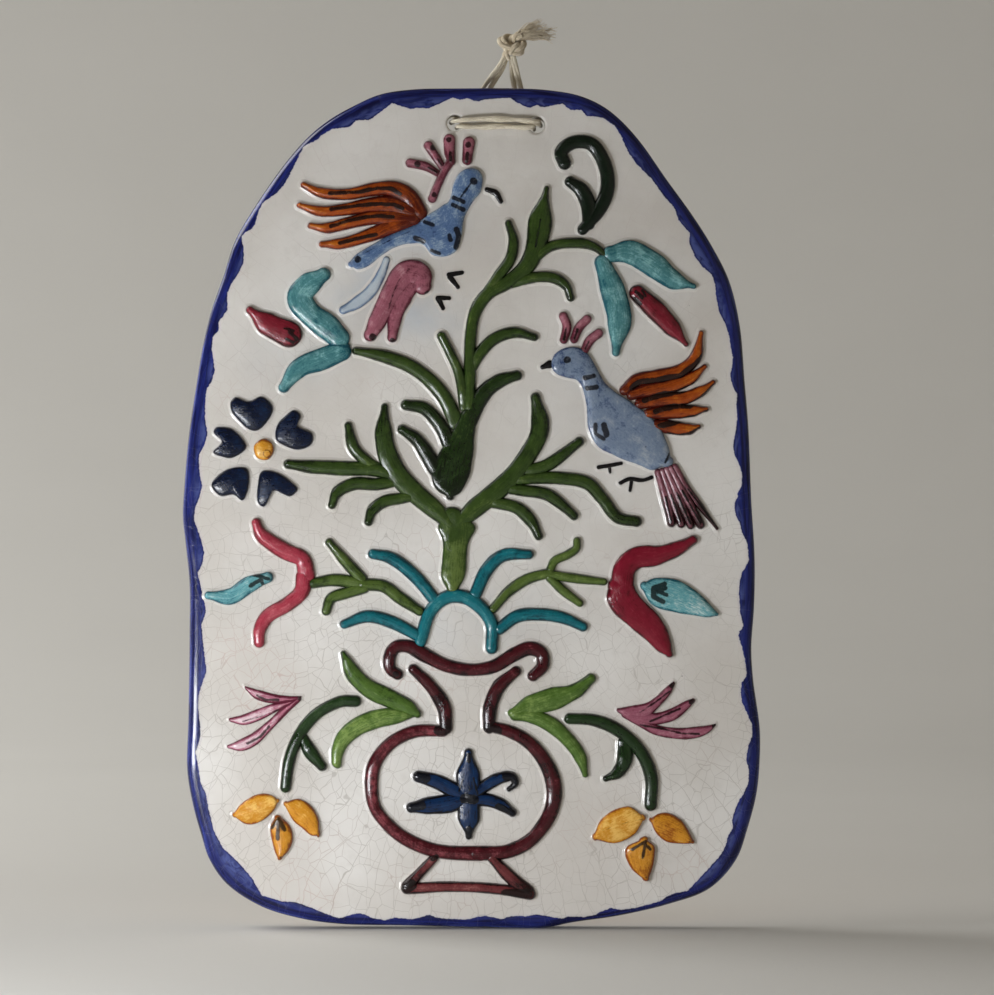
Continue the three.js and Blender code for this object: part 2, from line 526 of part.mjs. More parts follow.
function named(name, geometry, material) {
  const mesh = new THREE.Mesh(geometry, material);
  mesh.name = name;
  return mesh;
}

const plaque = new THREE.Group();
plaque.add(named("plaque", geometryOf(plaqueSolid()), GLAZE));
for (const [name, route] of Object.entries(STRAND_ROUTES)) {
  plaque.add(named(name, tube(route, STRAND, STRAND_STEPS), COTTON));
}
plaque.add(named("string_knot", geometryOf(knotSolid()), COTTON));

export default plaque;
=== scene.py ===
import bpy
import numpy as np
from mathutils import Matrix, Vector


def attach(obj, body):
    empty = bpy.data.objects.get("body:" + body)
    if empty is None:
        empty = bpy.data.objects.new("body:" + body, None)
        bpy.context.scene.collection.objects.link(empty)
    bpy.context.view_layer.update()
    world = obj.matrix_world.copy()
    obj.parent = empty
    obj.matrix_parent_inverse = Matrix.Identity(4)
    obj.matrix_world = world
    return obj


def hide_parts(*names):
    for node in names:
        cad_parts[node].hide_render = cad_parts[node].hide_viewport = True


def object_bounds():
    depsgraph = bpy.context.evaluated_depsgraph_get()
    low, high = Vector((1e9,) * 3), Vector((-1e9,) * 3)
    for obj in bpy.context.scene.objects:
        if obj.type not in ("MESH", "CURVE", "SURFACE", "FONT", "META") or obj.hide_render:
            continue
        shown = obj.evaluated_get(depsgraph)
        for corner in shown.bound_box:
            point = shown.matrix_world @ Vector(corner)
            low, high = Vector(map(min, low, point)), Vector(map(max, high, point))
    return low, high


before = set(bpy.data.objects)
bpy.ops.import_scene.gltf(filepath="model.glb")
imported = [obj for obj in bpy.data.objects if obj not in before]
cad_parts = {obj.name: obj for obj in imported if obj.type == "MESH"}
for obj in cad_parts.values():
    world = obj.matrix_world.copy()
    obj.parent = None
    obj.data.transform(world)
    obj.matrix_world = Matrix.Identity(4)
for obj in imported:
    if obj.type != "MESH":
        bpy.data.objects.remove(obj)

CAD_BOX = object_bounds()

# ---- Camera
# It faces the picture squarely, at the distance of a person who looks at the wall.
# The lens just takes in the plaque with its string and some of the backdrop round it.
MM = 0.001
VIEW_POINT = (8.9, 3.7)
VIEW_DISTANCE = 1200
VIEW_WIDTH = 354.2
SENSOR_WIDTH = 36
NEAREST_SEEN = 0.01
FURTHEST_SEEN = 30

camera_data = bpy.data.cameras.new("camera")
camera_data.sensor_fit = "HORIZONTAL"
camera_data.sensor_width = SENSOR_WIDTH
camera_data.lens = SENSOR_WIDTH * VIEW_DISTANCE / VIEW_WIDTH
camera_data.clip_start = NEAREST_SEEN
camera_data.clip_end = FURTHEST_SEEN
camera = bpy.data.objects.new("camera", camera_data)
bpy.context.scene.collection.objects.link(camera)
camera.location = (VIEW_POINT[0] * MM, CAD_BOX[0].y - VIEW_DISTANCE * MM, VIEW_POINT[1] * MM)
camera.rotation_euler = (np.pi / 2, 0, 0)
bpy.context.scene.camera = camera

# ---- Hanging string
# Two strands of soft cream cotton, each of two loosely twisted plies. They run from the knot down behind
# the slab, forward through the left hole, across the front, back through the right hole and up to the knot.
BEHIND = 0.7
ACROSS = -10.5
STRAND_ROUTES = {
    "string_strand_1": [
        (12, 1.3, 162.7), (9.8, 1.2, 159), (6.2, 1, 154.4), (2.9, BEHIND, 149.8), (-1, BEHIND, 145.4),
        (-4.6, BEHIND, 141.4), (-6.9, 0, 139.2), (-7.2, -2.5, 138.3), (-6.9, -6.2, 138.2),
        (-5.6, -9.2, 138.2), (-2.2, ACROSS, 138.4), (3.2, ACROSS, 138.7), (9, ACROSS, 138.7),
        (14.6, ACROSS, 138.5), (19.6, ACROSS, 138), (22.6, -9.2, 137.6), (24, -6.2, 137.4),
        (24.4, -2.5, 137.4), (24.2, 0, 138.2), (22.9, BEHIND, 140.8), (20.6, BEHIND, 145),
        (18, BEHIND, 149.8), (16.5, 1, 154.4), (15.4, 1.2, 159), (14.5, 1.3, 162.7),
    ],
    "string_strand_2": [
        (12, 3.6, 162.7), (10.9, 3.4, 159), (8.4, 2, 154.4), (5, BEHIND, 148.8), (1, BEHIND, 143.8),
        (-2.6, BEHIND, 139.4), (-4.7, 0.1, 137.2), (-5.1, -2.5, 136.6), (-4.9, -6.2, 136.4),
        (-4.3, -9.5, 136.3), (-1, ACROSS, 135.9), (4, ACROSS, 135.8), (9, ACROSS, 136.1),
        (14, ACROSS, 135.9), (18.2, ACROSS, 135.6), (21.2, -9.6, 135.9), (22, -6.2, 136),
        (22.2, -2.5, 136.2), (21.9, 0, 137), (20.6, BEHIND, 139.8), (18.4, BEHIND, 144),
        (15.8, BEHIND, 148.8), (14.7, 2, 154.4), (14.4, 3.4, 159), (14.4, 3.6, 162.7),
    ],
}
PLY_RADIUS = 0.7
PLY_OFFSET = 0.44
PLY_LAY = 40
PLY_SIDES = 12
PLY_STEP = 0.45
STEPS_A_STRETCH = 24
DIRECTIONS_TRIED = 60
GOLDEN_ANGLE = 2.39996


def curve_through(corners, closed=False):
    """Centripetal Catmull-Rom curve: each stretch blends its four nearest corners, whose knots lie the
    square root of their distance apart. Returns close points along the curve and the length up to each."""
    corners = np.asarray(corners, float)
    if closed:
        ring = np.vstack([corners[-1:], corners, corners[:2]])
    else:
        ring = np.vstack([2 * corners[0] - corners[1], corners, 2 * corners[-1] - corners[-2]])
    a, b, c, d = ring[:-3], ring[1:-2], ring[2:-1], ring[3:]
    gaps = [np.sqrt(np.linalg.norm(q - p, axis=1)) for p, q in ((a, b), (b, c), (c, d))]
    t1 = gaps[0][:, None, None]
    t2 = t1 + gaps[1][:, None, None]
    t3 = t2 + gaps[2][:, None, None]
    t = t1 + (t2 - t1) * np.linspace(0, 1, STEPS_A_STRETCH, endpoint=False)[None, :, None]
    a, b, c, d = (p[:, None, :] for p in (a, b, c, d))
    ab = (t1 - t) / t1 * a + t / t1 * b
    bc = (t2 - t) / (t2 - t1) * b + (t - t1) / (t2 - t1) * c
    cd = (t3 - t) / (t3 - t2) * c + (t - t2) / (t3 - t2) * d
    abc = (t2 - t) / t2 * ab + t / t2 * bc
    bcd = (t3 - t) / (t3 - t1) * bc + (t - t1) / (t3 - t1) * cd
    curve = ((t2 - t) / (t2 - t1) * abc + (t - t1) / (t2 - t1) * bcd).reshape(-1, ring.shape[1])
    curve = np.vstack([curve, corners[:1] if closed else corners[-1:]])
    reached = np.concatenate([[0], np.cumsum(np.linalg.norm(np.diff(curve, axis=0), axis=1))])
    return curve, reached


def places_at(curve, reached, lengths):
    """Points of the curve at the given lengths along it, by straight lines between its close points."""
    return np.stack([np.interp(lengths, reached, curve[:, k]) for k in range(curve.shape[1])], axis=1)


def unit(vectors):
    """Vectors divided by their own lengths."""
    return vectors / np.maximum(np.linalg.norm(vectors, axis=-1, keepdims=True), 1e-9)


def frame_across(along):
    """Two directions square to a route, from the one fixed direction that stays furthest from the route.
    The directions tried lie a golden angle apart on a sphere."""
    turn = np.arange(DIRECTIONS_TRIED) * GOLDEN_ANGLE
    height = np.linspace(-0.95, 0.95, DIRECTIONS_TRIED)
    flat = np.sqrt(1 - height**2)
    fixed = np.stack([flat * np.cos(turn), flat * np.sin(turn), height], axis=1)
    best = fixed[np.abs(along @ fixed.T).max(axis=0).argmin()]
    side = unit(np.cross(along, best))
    return side, np.cross(side, along)


def grid_triangles(index):
    """Two triangles for each cell of a grid of vertex numbers. A triangle that names a vertex twice has no
    area and is left out."""
    a, b, c, d = index[:-1, :-1], index[1:, :-1], index[1:, 1:], index[:-1, 1:]
    halves = [np.stack(corners, -1).reshape(-1, 3) for corners in ([a, b, c], [a, c, d])]
    triangles = np.concatenate(halves)
    whole = (triangles[:, 0] != triangles[:, 1]) & (triangles[:, 1] != triangles[:, 2])
    return triangles[whole & (triangles[:, 0] != triangles[:, 2])]


def closed_grid(rows, columns):
    """Vertex numbers of rows drawn to a point at each end, the two points numbered last. The first column
    is repeated after the last one, so each row closes on itself."""
    index = np.arange(rows * columns).reshape(rows, columns)
    first, last = (np.full((1, columns), rows * columns + end) for end in range(2))
    index = np.concatenate([first, index, last])
    return np.concatenate([index, index[:, :1]], axis=1)


def facing_out(places, triangles):
    """The triangles turned so that the solid's volume, the sum of a . (b x c) / 6, is positive."""
    a, b, c = (places[triangles[:, k]] for k in range(3))
    return triangles if np.einsum("ij,ij->", a, np.cross(b, c)) > 0 else triangles[:, ::-1]


def joined(parts):
    """Several (places, triangles, values) surfaces as one, each list of vertex numbers moved up in turn."""
    starts = np.cumsum([0] + [len(places) for places, _, _ in parts])
    places = np.concatenate([part[0] for part in parts])
    triangles = np.concatenate([part[1] + start for part, start in zip(parts, starts)])
    values = {key: np.concatenate([part[2][key] for part in parts]) for key in parts[0][2]}
    return places, triangles, values


def new_piece(name, places, triangles, values, materials, material_of=None):
    """A smooth mesh object from places in millimetres, with its values as vertex attributes."""
    mesh = bpy.data.meshes.new(name)
    mesh.vertices.add(len(places))
    mesh.vertices.foreach_set("co", (places * MM).astype(np.float32).ravel())
    mesh.loops.add(triangles.size)
    mesh.loops.foreach_set("vertex_index", triangles.astype(np.int32).ravel())
    mesh.polygons.add(len(triangles))
    mesh.polygons.foreach_set("loop_start", np.arange(0, triangles.size, 3, dtype=np.int32))
    mesh.polygons.foreach_set("use_smooth", np.ones(len(triangles), bool))
    for material in materials:
        mesh.materials.append(material)
    if material_of is not None:
        mesh.polygons.foreach_set("material_index", material_of.astype(np.int32))
    for key, value in values.items():
        vector = value.ndim == 2
        attribute = mesh.attributes.new(key, "FLOAT_VECTOR" if vector else "FLOAT", "POINT")
        attribute.data.foreach_set("vector" if vector else "value", value.astype(np.float32).ravel())
    mesh.update(calc_edges=True)
    piece = bpy.data.objects.new(name, mesh)
    bpy.context.scene.collection.objects.link(piece)
    return piece


def tube(centres, side, up, radii, sides, lengths, strand):
    """Round tube: a circle of the given radii carried along the centres, closed by a point at each end."""
    angle = np.linspace(0, 2 * np.pi, sides, endpoint=False)
    ring = np.cos(angle)[None, :, None] * side[:, None, :] + np.sin(angle)[None, :, None] * up[:, None, :]
    wall = (centres[:, None, :] + radii[:, None, None] * ring).reshape(-1, 3)
    index = closed_grid(len(centres), sides)
    places = np.vstack([wall, centres[:1], centres[-1:]])
    round_it = (angle * radii.max())[None, :]
    fibre = np.stack(np.broadcast_arrays(lengths[:, None], round_it, float(strand)), -1)
    fibre = np.vstack([fibre.reshape(-1, 3), [lengths[0], 0, strand], [lengths[-1], 0, strand]])
    return places, facing_out(places, grid_triangles(index)), {"fibre": fibre}


def twisted_strand(route, plies, radius, offset, lay, seed):
    """Plies wound round a route: each ply's centre circles the route once in every lay of length."""
    curve, reached = curve_through(route)
    lengths = np.linspace(0, reached[-1], int(reached[-1] / PLY_STEP))
    centres = places_at(curve, reached, lengths)
    side, up = frame_across(unit(np.gradient(centres, axis=0)))
    parts = []
    for ply in range(plies):
        turn = 2 * np.pi * (lengths / lay + ply / plies) + 0.5 * np.sin(lengths / 5 + seed)
        loose = offset * (1 + 0.16 * np.sin(lengths / 3.7 + 2 * ply + seed))
        outward = np.cos(turn)[:, None] * side + np.sin(turn)[:, None] * up
        ply_centres = centres + loose[:, None] * outward
        radii = radius * (1 + 0.06 * np.sin(lengths / 1.9 + ply + 3 * seed))
        parts.append(tube(ply_centres, side, up, radii, PLY_SIDES, lengths, 10 * seed + ply))
    return joined(parts)


def linear(red, green, blue):
    """A paint colour given in the usual 0 to 255 steps, as linear light."""
    steps = np.array([red, green, blue]) / 255
    light = np.where(steps <= 0.04045, steps / 12.92, ((steps + 0.055) / 1.055) ** 2.4)
    return (*light.tolist(), 1)


def add(tree, kind, inputs=None, **settings):
    """A new node: its settings, then its inputs, each one a plain value or another node's output."""
    node = tree.nodes.new("ShaderNode" + kind)
    for key, value in settings.items():
        setattr(node, key, value)
    for key, value in (inputs or {}).items():
        if isinstance(value, bpy.types.NodeSocket):
            tree.links.new(value, node.inputs[key])
        else:
            node.inputs[key].default_value = value
    return node


def calc(tree, operation, first, second=0.0, third=0.0):
    """One step of arithmetic on plain values or outputs."""
    return add(tree, "Math", {0: first, 1: second, 2: third}, operation=operation).outputs[0]


def times(tree, first, second):
    """The product of two plain values or outputs."""
    return calc(tree, "MULTIPLY", first, second)


def plus(tree, first, second):
    """The sum of two plain values or outputs."""
    return calc(tree, "ADD", first, second)


def mixed(tree, share, first, second):
    """A colour between two colours."""
    return add(tree, "Mix", {0: share, 6: first, 7: second}, data_type="RGBA").outputs[2]


def eased(tree, value, low, high, start=0.0, end=1.0):
    """The value eased from start to end while it goes from low to high."""
    inputs = {0: value, 1: low, 2: high, 3: start, 4: end}
    return add(tree, "MapRange", inputs, interpolation_type="SMOOTHSTEP").outputs[0]


def noise(tree, vector, scale, detail=3.0, rough=0.5, distortion=0.0):
    """Cloudy pattern, from 0 to 1."""
    inputs = {"Vector": vector, "Scale": scale, "Detail": detail, "Roughness": rough,
              "Distortion": distortion}
    return add(tree, "TexNoise", inputs).outputs[0]


def stretched(tree, vector, scale, shift=(0, 0, 0)):
    """A vector scaled and shifted along each axis."""
    return add(tree, "Mapping", {"Vector": vector, "Scale": scale, "Location": shift}).outputs[0]


def attribute(tree, name, output="Fac"):
    """One of the piece's own vertex attributes."""
    return add(tree, "Attribute", attribute_name=name).outputs[output]


def new_material(name):
    """An empty material with its surface shader."""
    material = bpy.data.materials.new(name)
    material.use_nodes = True
    tree = material.node_tree
    return material, tree, tree.nodes["Principled BSDF"]


def set_bump(tree, shader, height, strength, distance):
    """Fine relief of the finish."""
    bump = add(tree, "Bump", {"Height": height, "Strength": strength, "Distance": distance})
    tree.links.new(bump.outputs[0], shader.inputs["Normal"])


def cotton_yarn(name, pale, dull):
    """Cotton yarn: streaks that follow the fibres, darker in the hollows of the bump, and a soft nap."""
    material, tree, shader = new_material(name)
    fibre = attribute(tree, "fibre", "Vector")
    lay = noise(tree, stretched(tree, fibre, (0.55, 2.6, 3.1)), 1.0, 4, 0.6, 0.4)
    tufts = noise(tree, stretched(tree, fibre, (1.6, 7.0, 5.3)), 1.0, 3, 0.6)
    # The same streaks set the colour and the bump, so the hollows are darker: partly the yarn's own uneven
    # tone, partly painted shade.
    shade = calc(tree, "MULTIPLY_ADD", tufts, 0.35, times(tree, lay, 0.75))
    tree.links.new(mixed(tree, eased(tree, shade, 0.32, 0.72), dull, pale), shader.inputs["Base Color"])
    tree.links.new(eased(tree, tufts, 0.2, 0.8, 0.82, 0.96), shader.inputs["Roughness"])
    shader.inputs["Sheen Weight"].default_value = 0.35
    shader.inputs["Sheen Roughness"].default_value = 0.6
    shader.inputs["Specular IOR Level"].default_value = 0.2
    set_bump(tree, shader, shade, 0.7, 0.0004)
    return material


COTTON = cotton_yarn("cotton", linear(236, 228, 208), linear(196, 184, 158))
for seed, (name, route) in enumerate(STRAND_ROUTES.items(), start=1):
    places, triangles, values = twisted_strand(route, 2, PLY_RADIUS, PLY_OFFSET, PLY_LAY, seed)
    strand = new_piece(name + "_yarn", places, triangles, values, [COTTON])
    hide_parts(name)
    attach(strand, "root")

# ---- Knot and tuft
# The four strand ends are tied in one overhand knot, pulled tight, and their cut ends have come untwisted
# into a loose tuft at its upper right. The knot holds by friction alone.
KNOT_ROUTE = [
    (12.2, 2.2, 161.6), (12.6, 0.8, 163.6), (14.6, -0.3, 165.2), (17.2, 0.6, 166), (18, 2.8, 167.6),
    (15.6, 4, 169.2), (12.4, 3.4, 169.4), (10.8, 1.6, 168.4), (11.4, 0.1, 166.6), (13.6, -0.2, 165),
    (16.2, 1, 164.2), (17.2, 2.8, 165), (15.6, 3.6, 166.6), (14.4, 2.4, 168), (15.6, 1.2, 169.4),
    (17.8, 1.2, 170),
]
KNOT_PLY = (3, 0.92, 0.86, 12)
TUFT_ROOT = (16.8, 1.4, 169.2)
TUFT_ENDS = [(22.8, 1.2, 176), (26.4, 0.6, 175), (29.4, 0.8, 173), (31, 1.6, 170.6), (29, 2.8, 167.8)]
FIBRES = 150
FIBRE_STEPS = 9
FIBRE_SIDES = 4
FIBRE_RADIUS = 0.2
TUFT_SEED = 11


def tuft(root, ends, count):
    """Thin fibres: each leaves the root close to its neighbours, bows, curls a little and thins to its
    end."""
    draw = np.random.default_rng(TUFT_SEED)
    share = np.linspace(0, 1, FIBRE_STEPS)
    ends = np.asarray(ends)
    spot = draw.uniform(0, len(ends) - 1, count)
    before = np.floor(spot).astype(int)
    after = np.minimum(before + 1, len(ends) - 1)
    tips = ends[before] + (spot - before)[:, None] * (ends[after] - ends[before])
    tips = tips + draw.normal(0, [0.5, 0.5, 0.5], (count, 3))
    reach = draw.uniform(0.5, 1.02, count)[:, None]
    starts = np.asarray(root) + draw.normal(0, [0.55, 0.5, 0.55], (count, 3))
    tips = starts + reach * (tips - starts)
    bow = draw.normal(0, 0.5, (count, 3)) + [0.3, 0, 0.7]
    curl = draw.uniform(0, 2 * np.pi, (count, 3))
    parts = []
    for fibre in range(count):
        line = starts[fibre] + share[:, None] * (tips[fibre] - starts[fibre])
        line = line + (4 * share * (1 - share))[:, None] * bow[fibre]
        line = line + 0.28 * (share[:, None] ** 1.5) * np.sin(7 * share[:, None] + curl[fibre])
        side, up = frame_across(unit(np.gradient(line, axis=0)))
        radii = FIBRE_RADIUS * (1 - 0.55 * share)
        parts.append(tube(line, side, up, radii, FIBRE_SIDES, 12 * share, fibre))
    return joined(parts)


knot_parts = [twisted_strand(KNOT_ROUTE, *KNOT_PLY, 5), tuft(TUFT_ROOT, TUFT_ENDS, FIBRES)]
knot_places, knot_triangles, knot_values = joined(knot_parts)
FRAYED_COTTON = cotton_yarn("frayed_cotton", linear(228, 216, 192), linear(164, 146, 114))
knot = new_piece("string_knot_tied", knot_places, knot_triangles, knot_values, [FRAYED_COTTON])
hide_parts("string_knot")
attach(knot, "root")

# ---- Slab
# One slab of earthenware, rolled and cut by hand, dipped in cream-white glaze that has crazed all over.
# A cobalt border is brushed round its rim in uneven scallops. The back is bare clay, eased at the top.
SLAB_THICK = 9
EDGE_ROUND = 3.2
EASE_FROM = 122
EASE_SLOPE = np.tan(np.radians(2.2))
SLAB_EDGE = [
    (-33, 148), (-21.5, 149.8), (-3, 150.2), (16.5, 150.2), (27, 149.6), (38, 147.7), (46.5, 144),
    (53, 139), (60, 131.3), (69.5, 117.8), (79, 104.6), (86, 93.5), (92, 81.4), (95.8, 65.7),
    (97.6, 45.4), (99, 28), (100, 2.7), (101.2, -18), (101, -35), (100, -50), (100.6, -61), (103, -79),
    (103, -90), (101.9, -102), (98.7, -114.6), (94.5, -126), (85, -136.3), (70.5, -141.8), (52.5, -146),
    (36, -148.4), (26.5, -150.2), (6, -150.2), (-23.5, -149.5), (-47, -149), (-61.5, -147),
    (-75.5, -142.7), (-88, -134.5), (-94.2, -125.6), (-97, -117), (-99.8, -107), (-102, -94),
    (-101.6, -75), (-101.2, -47), (-101.2, -27), (-102.7, -12), (-103.6, -3), (-103.2, 6), (-101.5, 25.5),
    (-98.7, 44.4), (-96.6, 57), (-93.4, 70.4), (-89, 83), (-85, 95.3), (-78.7, 106.4), (-66.6, 123.8),
    (-58.4, 133), (-51, 139), (-43, 143.6),
]
BORDER_LINE = [
    (-90.5, 63.2), (-92.5, 61.2), (-92.9, 56.4), (-91.8, 48.9), (-92.9, 45.2), (-94.9, 42.1), (-95.3, 36),
    (-95.3, 31.9), (-94.4, 26.4), (-95.6, 22.3), (-97.5, 18.9), (-97.3, 12.1), (-96.3, 8), (-97.3, 3.9),
    (-98.9, -0.2), (-99.3, -4.2), (-97, -10.4), (-95.6, -15.8), (-96.3, -19.9), (-98, -23.3),
    (-96.3, -30.2), (-94.9, -37), (-96.6, -41.7), (-95.9, -48.9), (-94.8, -58.5), (-96.3, -62.6),
    (-97.6, -66.7), (-97.8, -71.4), (-97, -78.3), (-97, -82.3), (-98.7, -87.1), (-97.6, -93.3),
    (-97, -98), (-94.9, -102.1), (-94.2, -106.9), (-93.2, -111), (-92.2, -115.1), (-89.1, -121.2),
    (-83.3, -126.7), (-78.6, -132.1), (-75.1, -138.3), (-67.6, -140.6), (-63.6, -140.6), (-59.5, -142),
    (-54.3, -144), (-50.4, -145.6), (-47.2, -146.6), (-43.8, -145.4), (-40.5, -144.7), (-38.2, -145.2),
    (-35.6, -146.4), (-31.3, -147.2), (-27.7, -146.3), (-21.4, -146.8), (-18.4, -146.2), (-15.5, -145.2),
    (-12.8, -146.2), (-8.9, -146.7), (-1.6, -146.9), (2, -146), (4.7, -145.6), (7.8, -146.2),
    (10.5, -146.9), (12.9, -146), (16, -145.6), (19.1, -145.8), (23.1, -145.1), (27.2, -145.8),
    (32.3, -146.7), (34.1, -145.8), (40.2, -146.1), (44.3, -145.2), (45.6, -144.2), (49.7, -142.8),
    (53.1, -143.5), (57.2, -143), (62, -141.9), (67.5, -140.3), (69.5, -138.7), (72.9, -137.4),
    (76.7, -136.9), (79, -134.6), (82.4, -130.9), (85.9, -127.1), (88.6, -124.1), (90.3, -121.2),
    (91.3, -117.2), (93.1, -114.2), (92.8, -111.2), (93.8, -108.2), (95.1, -104.7), (96.8, -102.2),
    (98.6, -98.2), (98.8, -93.7), (97.8, -89.7), (98.1, -87.2), (98.8, -84.2), (100.1, -81.2),
    (99.8, -77.2), (98.1, -73.2), (96.3, -69.2), (95.8, -66.2), (96.3, -62.2), (98.1, -59.7),
    (97.4, -54.4), (96.4, -50), (95.1, -45.9), (95.5, -44), (96.8, -42.5), (95.7, -37.3), (95.2, -29.8),
    (95.5, -26), (96.4, -23), (98.8, -18.9), (98.2, -12.5), (97.3, -10.6), (96.3, -8.8), (95.7, -5.8),
    (94.2, -2.8), (93.6, -0.1), (93.8, 2.1), (94.9, 4), (94.7, 5.5), (96.1, 7.4), (96.4, 11.5),
    (95.7, 14.5), (94.7, 16.7), (93.7, 19), (93.2, 21.2), (93.3, 23.5), (94.2, 28), (94.7, 33.2),
    (94.3, 36.2), (94.6, 40.7), (93.4, 42.6), (92.5, 45.2), (92.1, 47.9), (92.8, 50.1), (93.1, 53.9),
    (92.3, 57.2), (91.8, 61), (90.4, 65.6), (88.2, 70), (87.1, 75.1), (86.8, 79.5), (85.7, 83.1),
    (82.4, 86), (79.5, 89.6), (77.5, 94.7), (77.7, 98), (73.7, 102.7), (72.2, 107.1), (68.6, 111.1),
    (64.2, 117.3), (58.4, 123.1), (55.5, 127.4), (53.3, 132.5), (51.1, 136.2), (46.8, 139.2),
    (43.9, 139.7), (41, 139.8), (38.8, 142.1), (35.1, 142), (32.2, 144.3), (25, 142.9), (23.1, 143.8),
    (20.2, 142.7), (15.5, 145), (13.7, 146.4), (4.2, 145.8), (2.1, 145), (-1.9, 146.2), (-4.1, 145.6),
    (-7, 146.5), (-11.8, 144.2), (-15.6, 142.6), (-20, 142.8), (-22, 142.3), (-28.6, 144.5),
    (-33.4, 140.7), (-36.6, 138.4), (-41.4, 138.4), (-43.6, 135.9), (-50, 135.3), (-53.1, 133.4),
    (-55.7, 131.1), (-60.1, 129.2), (-63.3, 122.5), (-66.5, 116.2), (-69.7, 112.4), (-74.8, 108.9),
    (-76.4, 105.4), (-77.3, 101.5), (-78.6, 99.6), (-80.8, 98.4), (-82.4, 96.8), (-81.5, 92.6),
    (-81.6, 87.5), (-83, 84.4), (-85.9, 79.9), (-87.4, 76.7), (-87.4, 70.4), (-90.4, 66.5),
]
EDGE_COLUMNS = 1000
BAND = 13.5
BAND_ROWS = 26
INNER_ROWS = 36
BACK_ROWS = 16
ROUND_ROWS = 7
GLAZED = -6.0
BARE_CLAY = 8.0
HOLES = [(-6.1, 137.5), (23.1, 136.8)]
HOLE_RADIUS = 2.9
HOLE_FLARE = 1.1
BORE_SIDES = 48
MOUTH_STEPS = 9
PAST_FACE = 2
STAINS = [
    (-30, 75, 16, 12, 0.5), (-13, 67, 11, 7, 0.45), (-44, 76, 9, 9, 0.35), (-20, 100, 18, 9, 0.3),
    (45, 44, 14, 14, 0.22), (-66, 52, 14, 10, 0.2), (60, 80, 14, 12, 0.2), (0, -40, 26, 12, 0.25),
]


def slab_front(x, z):
    """Depth of the slab's front: its thickness and the slow, shallow waves left by rolling it out."""
    waves = np.sin(x / 23 + 1.2) * np.sin(z / 31 + 0.4) + 0.6 * np.sin(x / 11 - z / 17)
    return SLAB_THICK + 0.07 * waves + 0.03 * np.sin(x / 5.1 + z / 7.3)


def off_line(here, corners):
    """Distance from each place to a line of straight stretches: the least over the stretches, each from the
    place's foot on the stretch, held between its ends."""
    nearest = np.full(len(here), 99.0)
    for start, end in zip(corners[:-1], corners[1:]):
        step = end - start
        share = np.clip((here - start) @ step / (step @ step), 0, 1)
        nearest = np.minimum(nearest, np.linalg.norm(here - start - share[:, None] * step, axis=1))
    return nearest


def past_border_line(x, z):
    """How far each place is past the border's inner line, less than nought on the white side: the distance
    to the line, with its sign from how many stretches a ray towards +X crosses."""
    line = np.array(BORDER_LINE + BORDER_LINE[:1])
    here = np.stack([x.ravel(), z.ravel()], axis=1)
    crossed = np.zeros(len(here), int)
    for (ax, az), (bx, bz) in zip(line[:-1], line[1:]):
        if az != bz:
            between = (here[:, 1] >= min(az, bz)) & (here[:, 1] < max(az, bz))
            crossed += between & (here[:, 0] < ax + (here[:, 1] - az) * (bx - ax) / (bz - az))
    return (off_line(here, line) * np.where(crossed % 2, -1, 1)).reshape(x.shape)


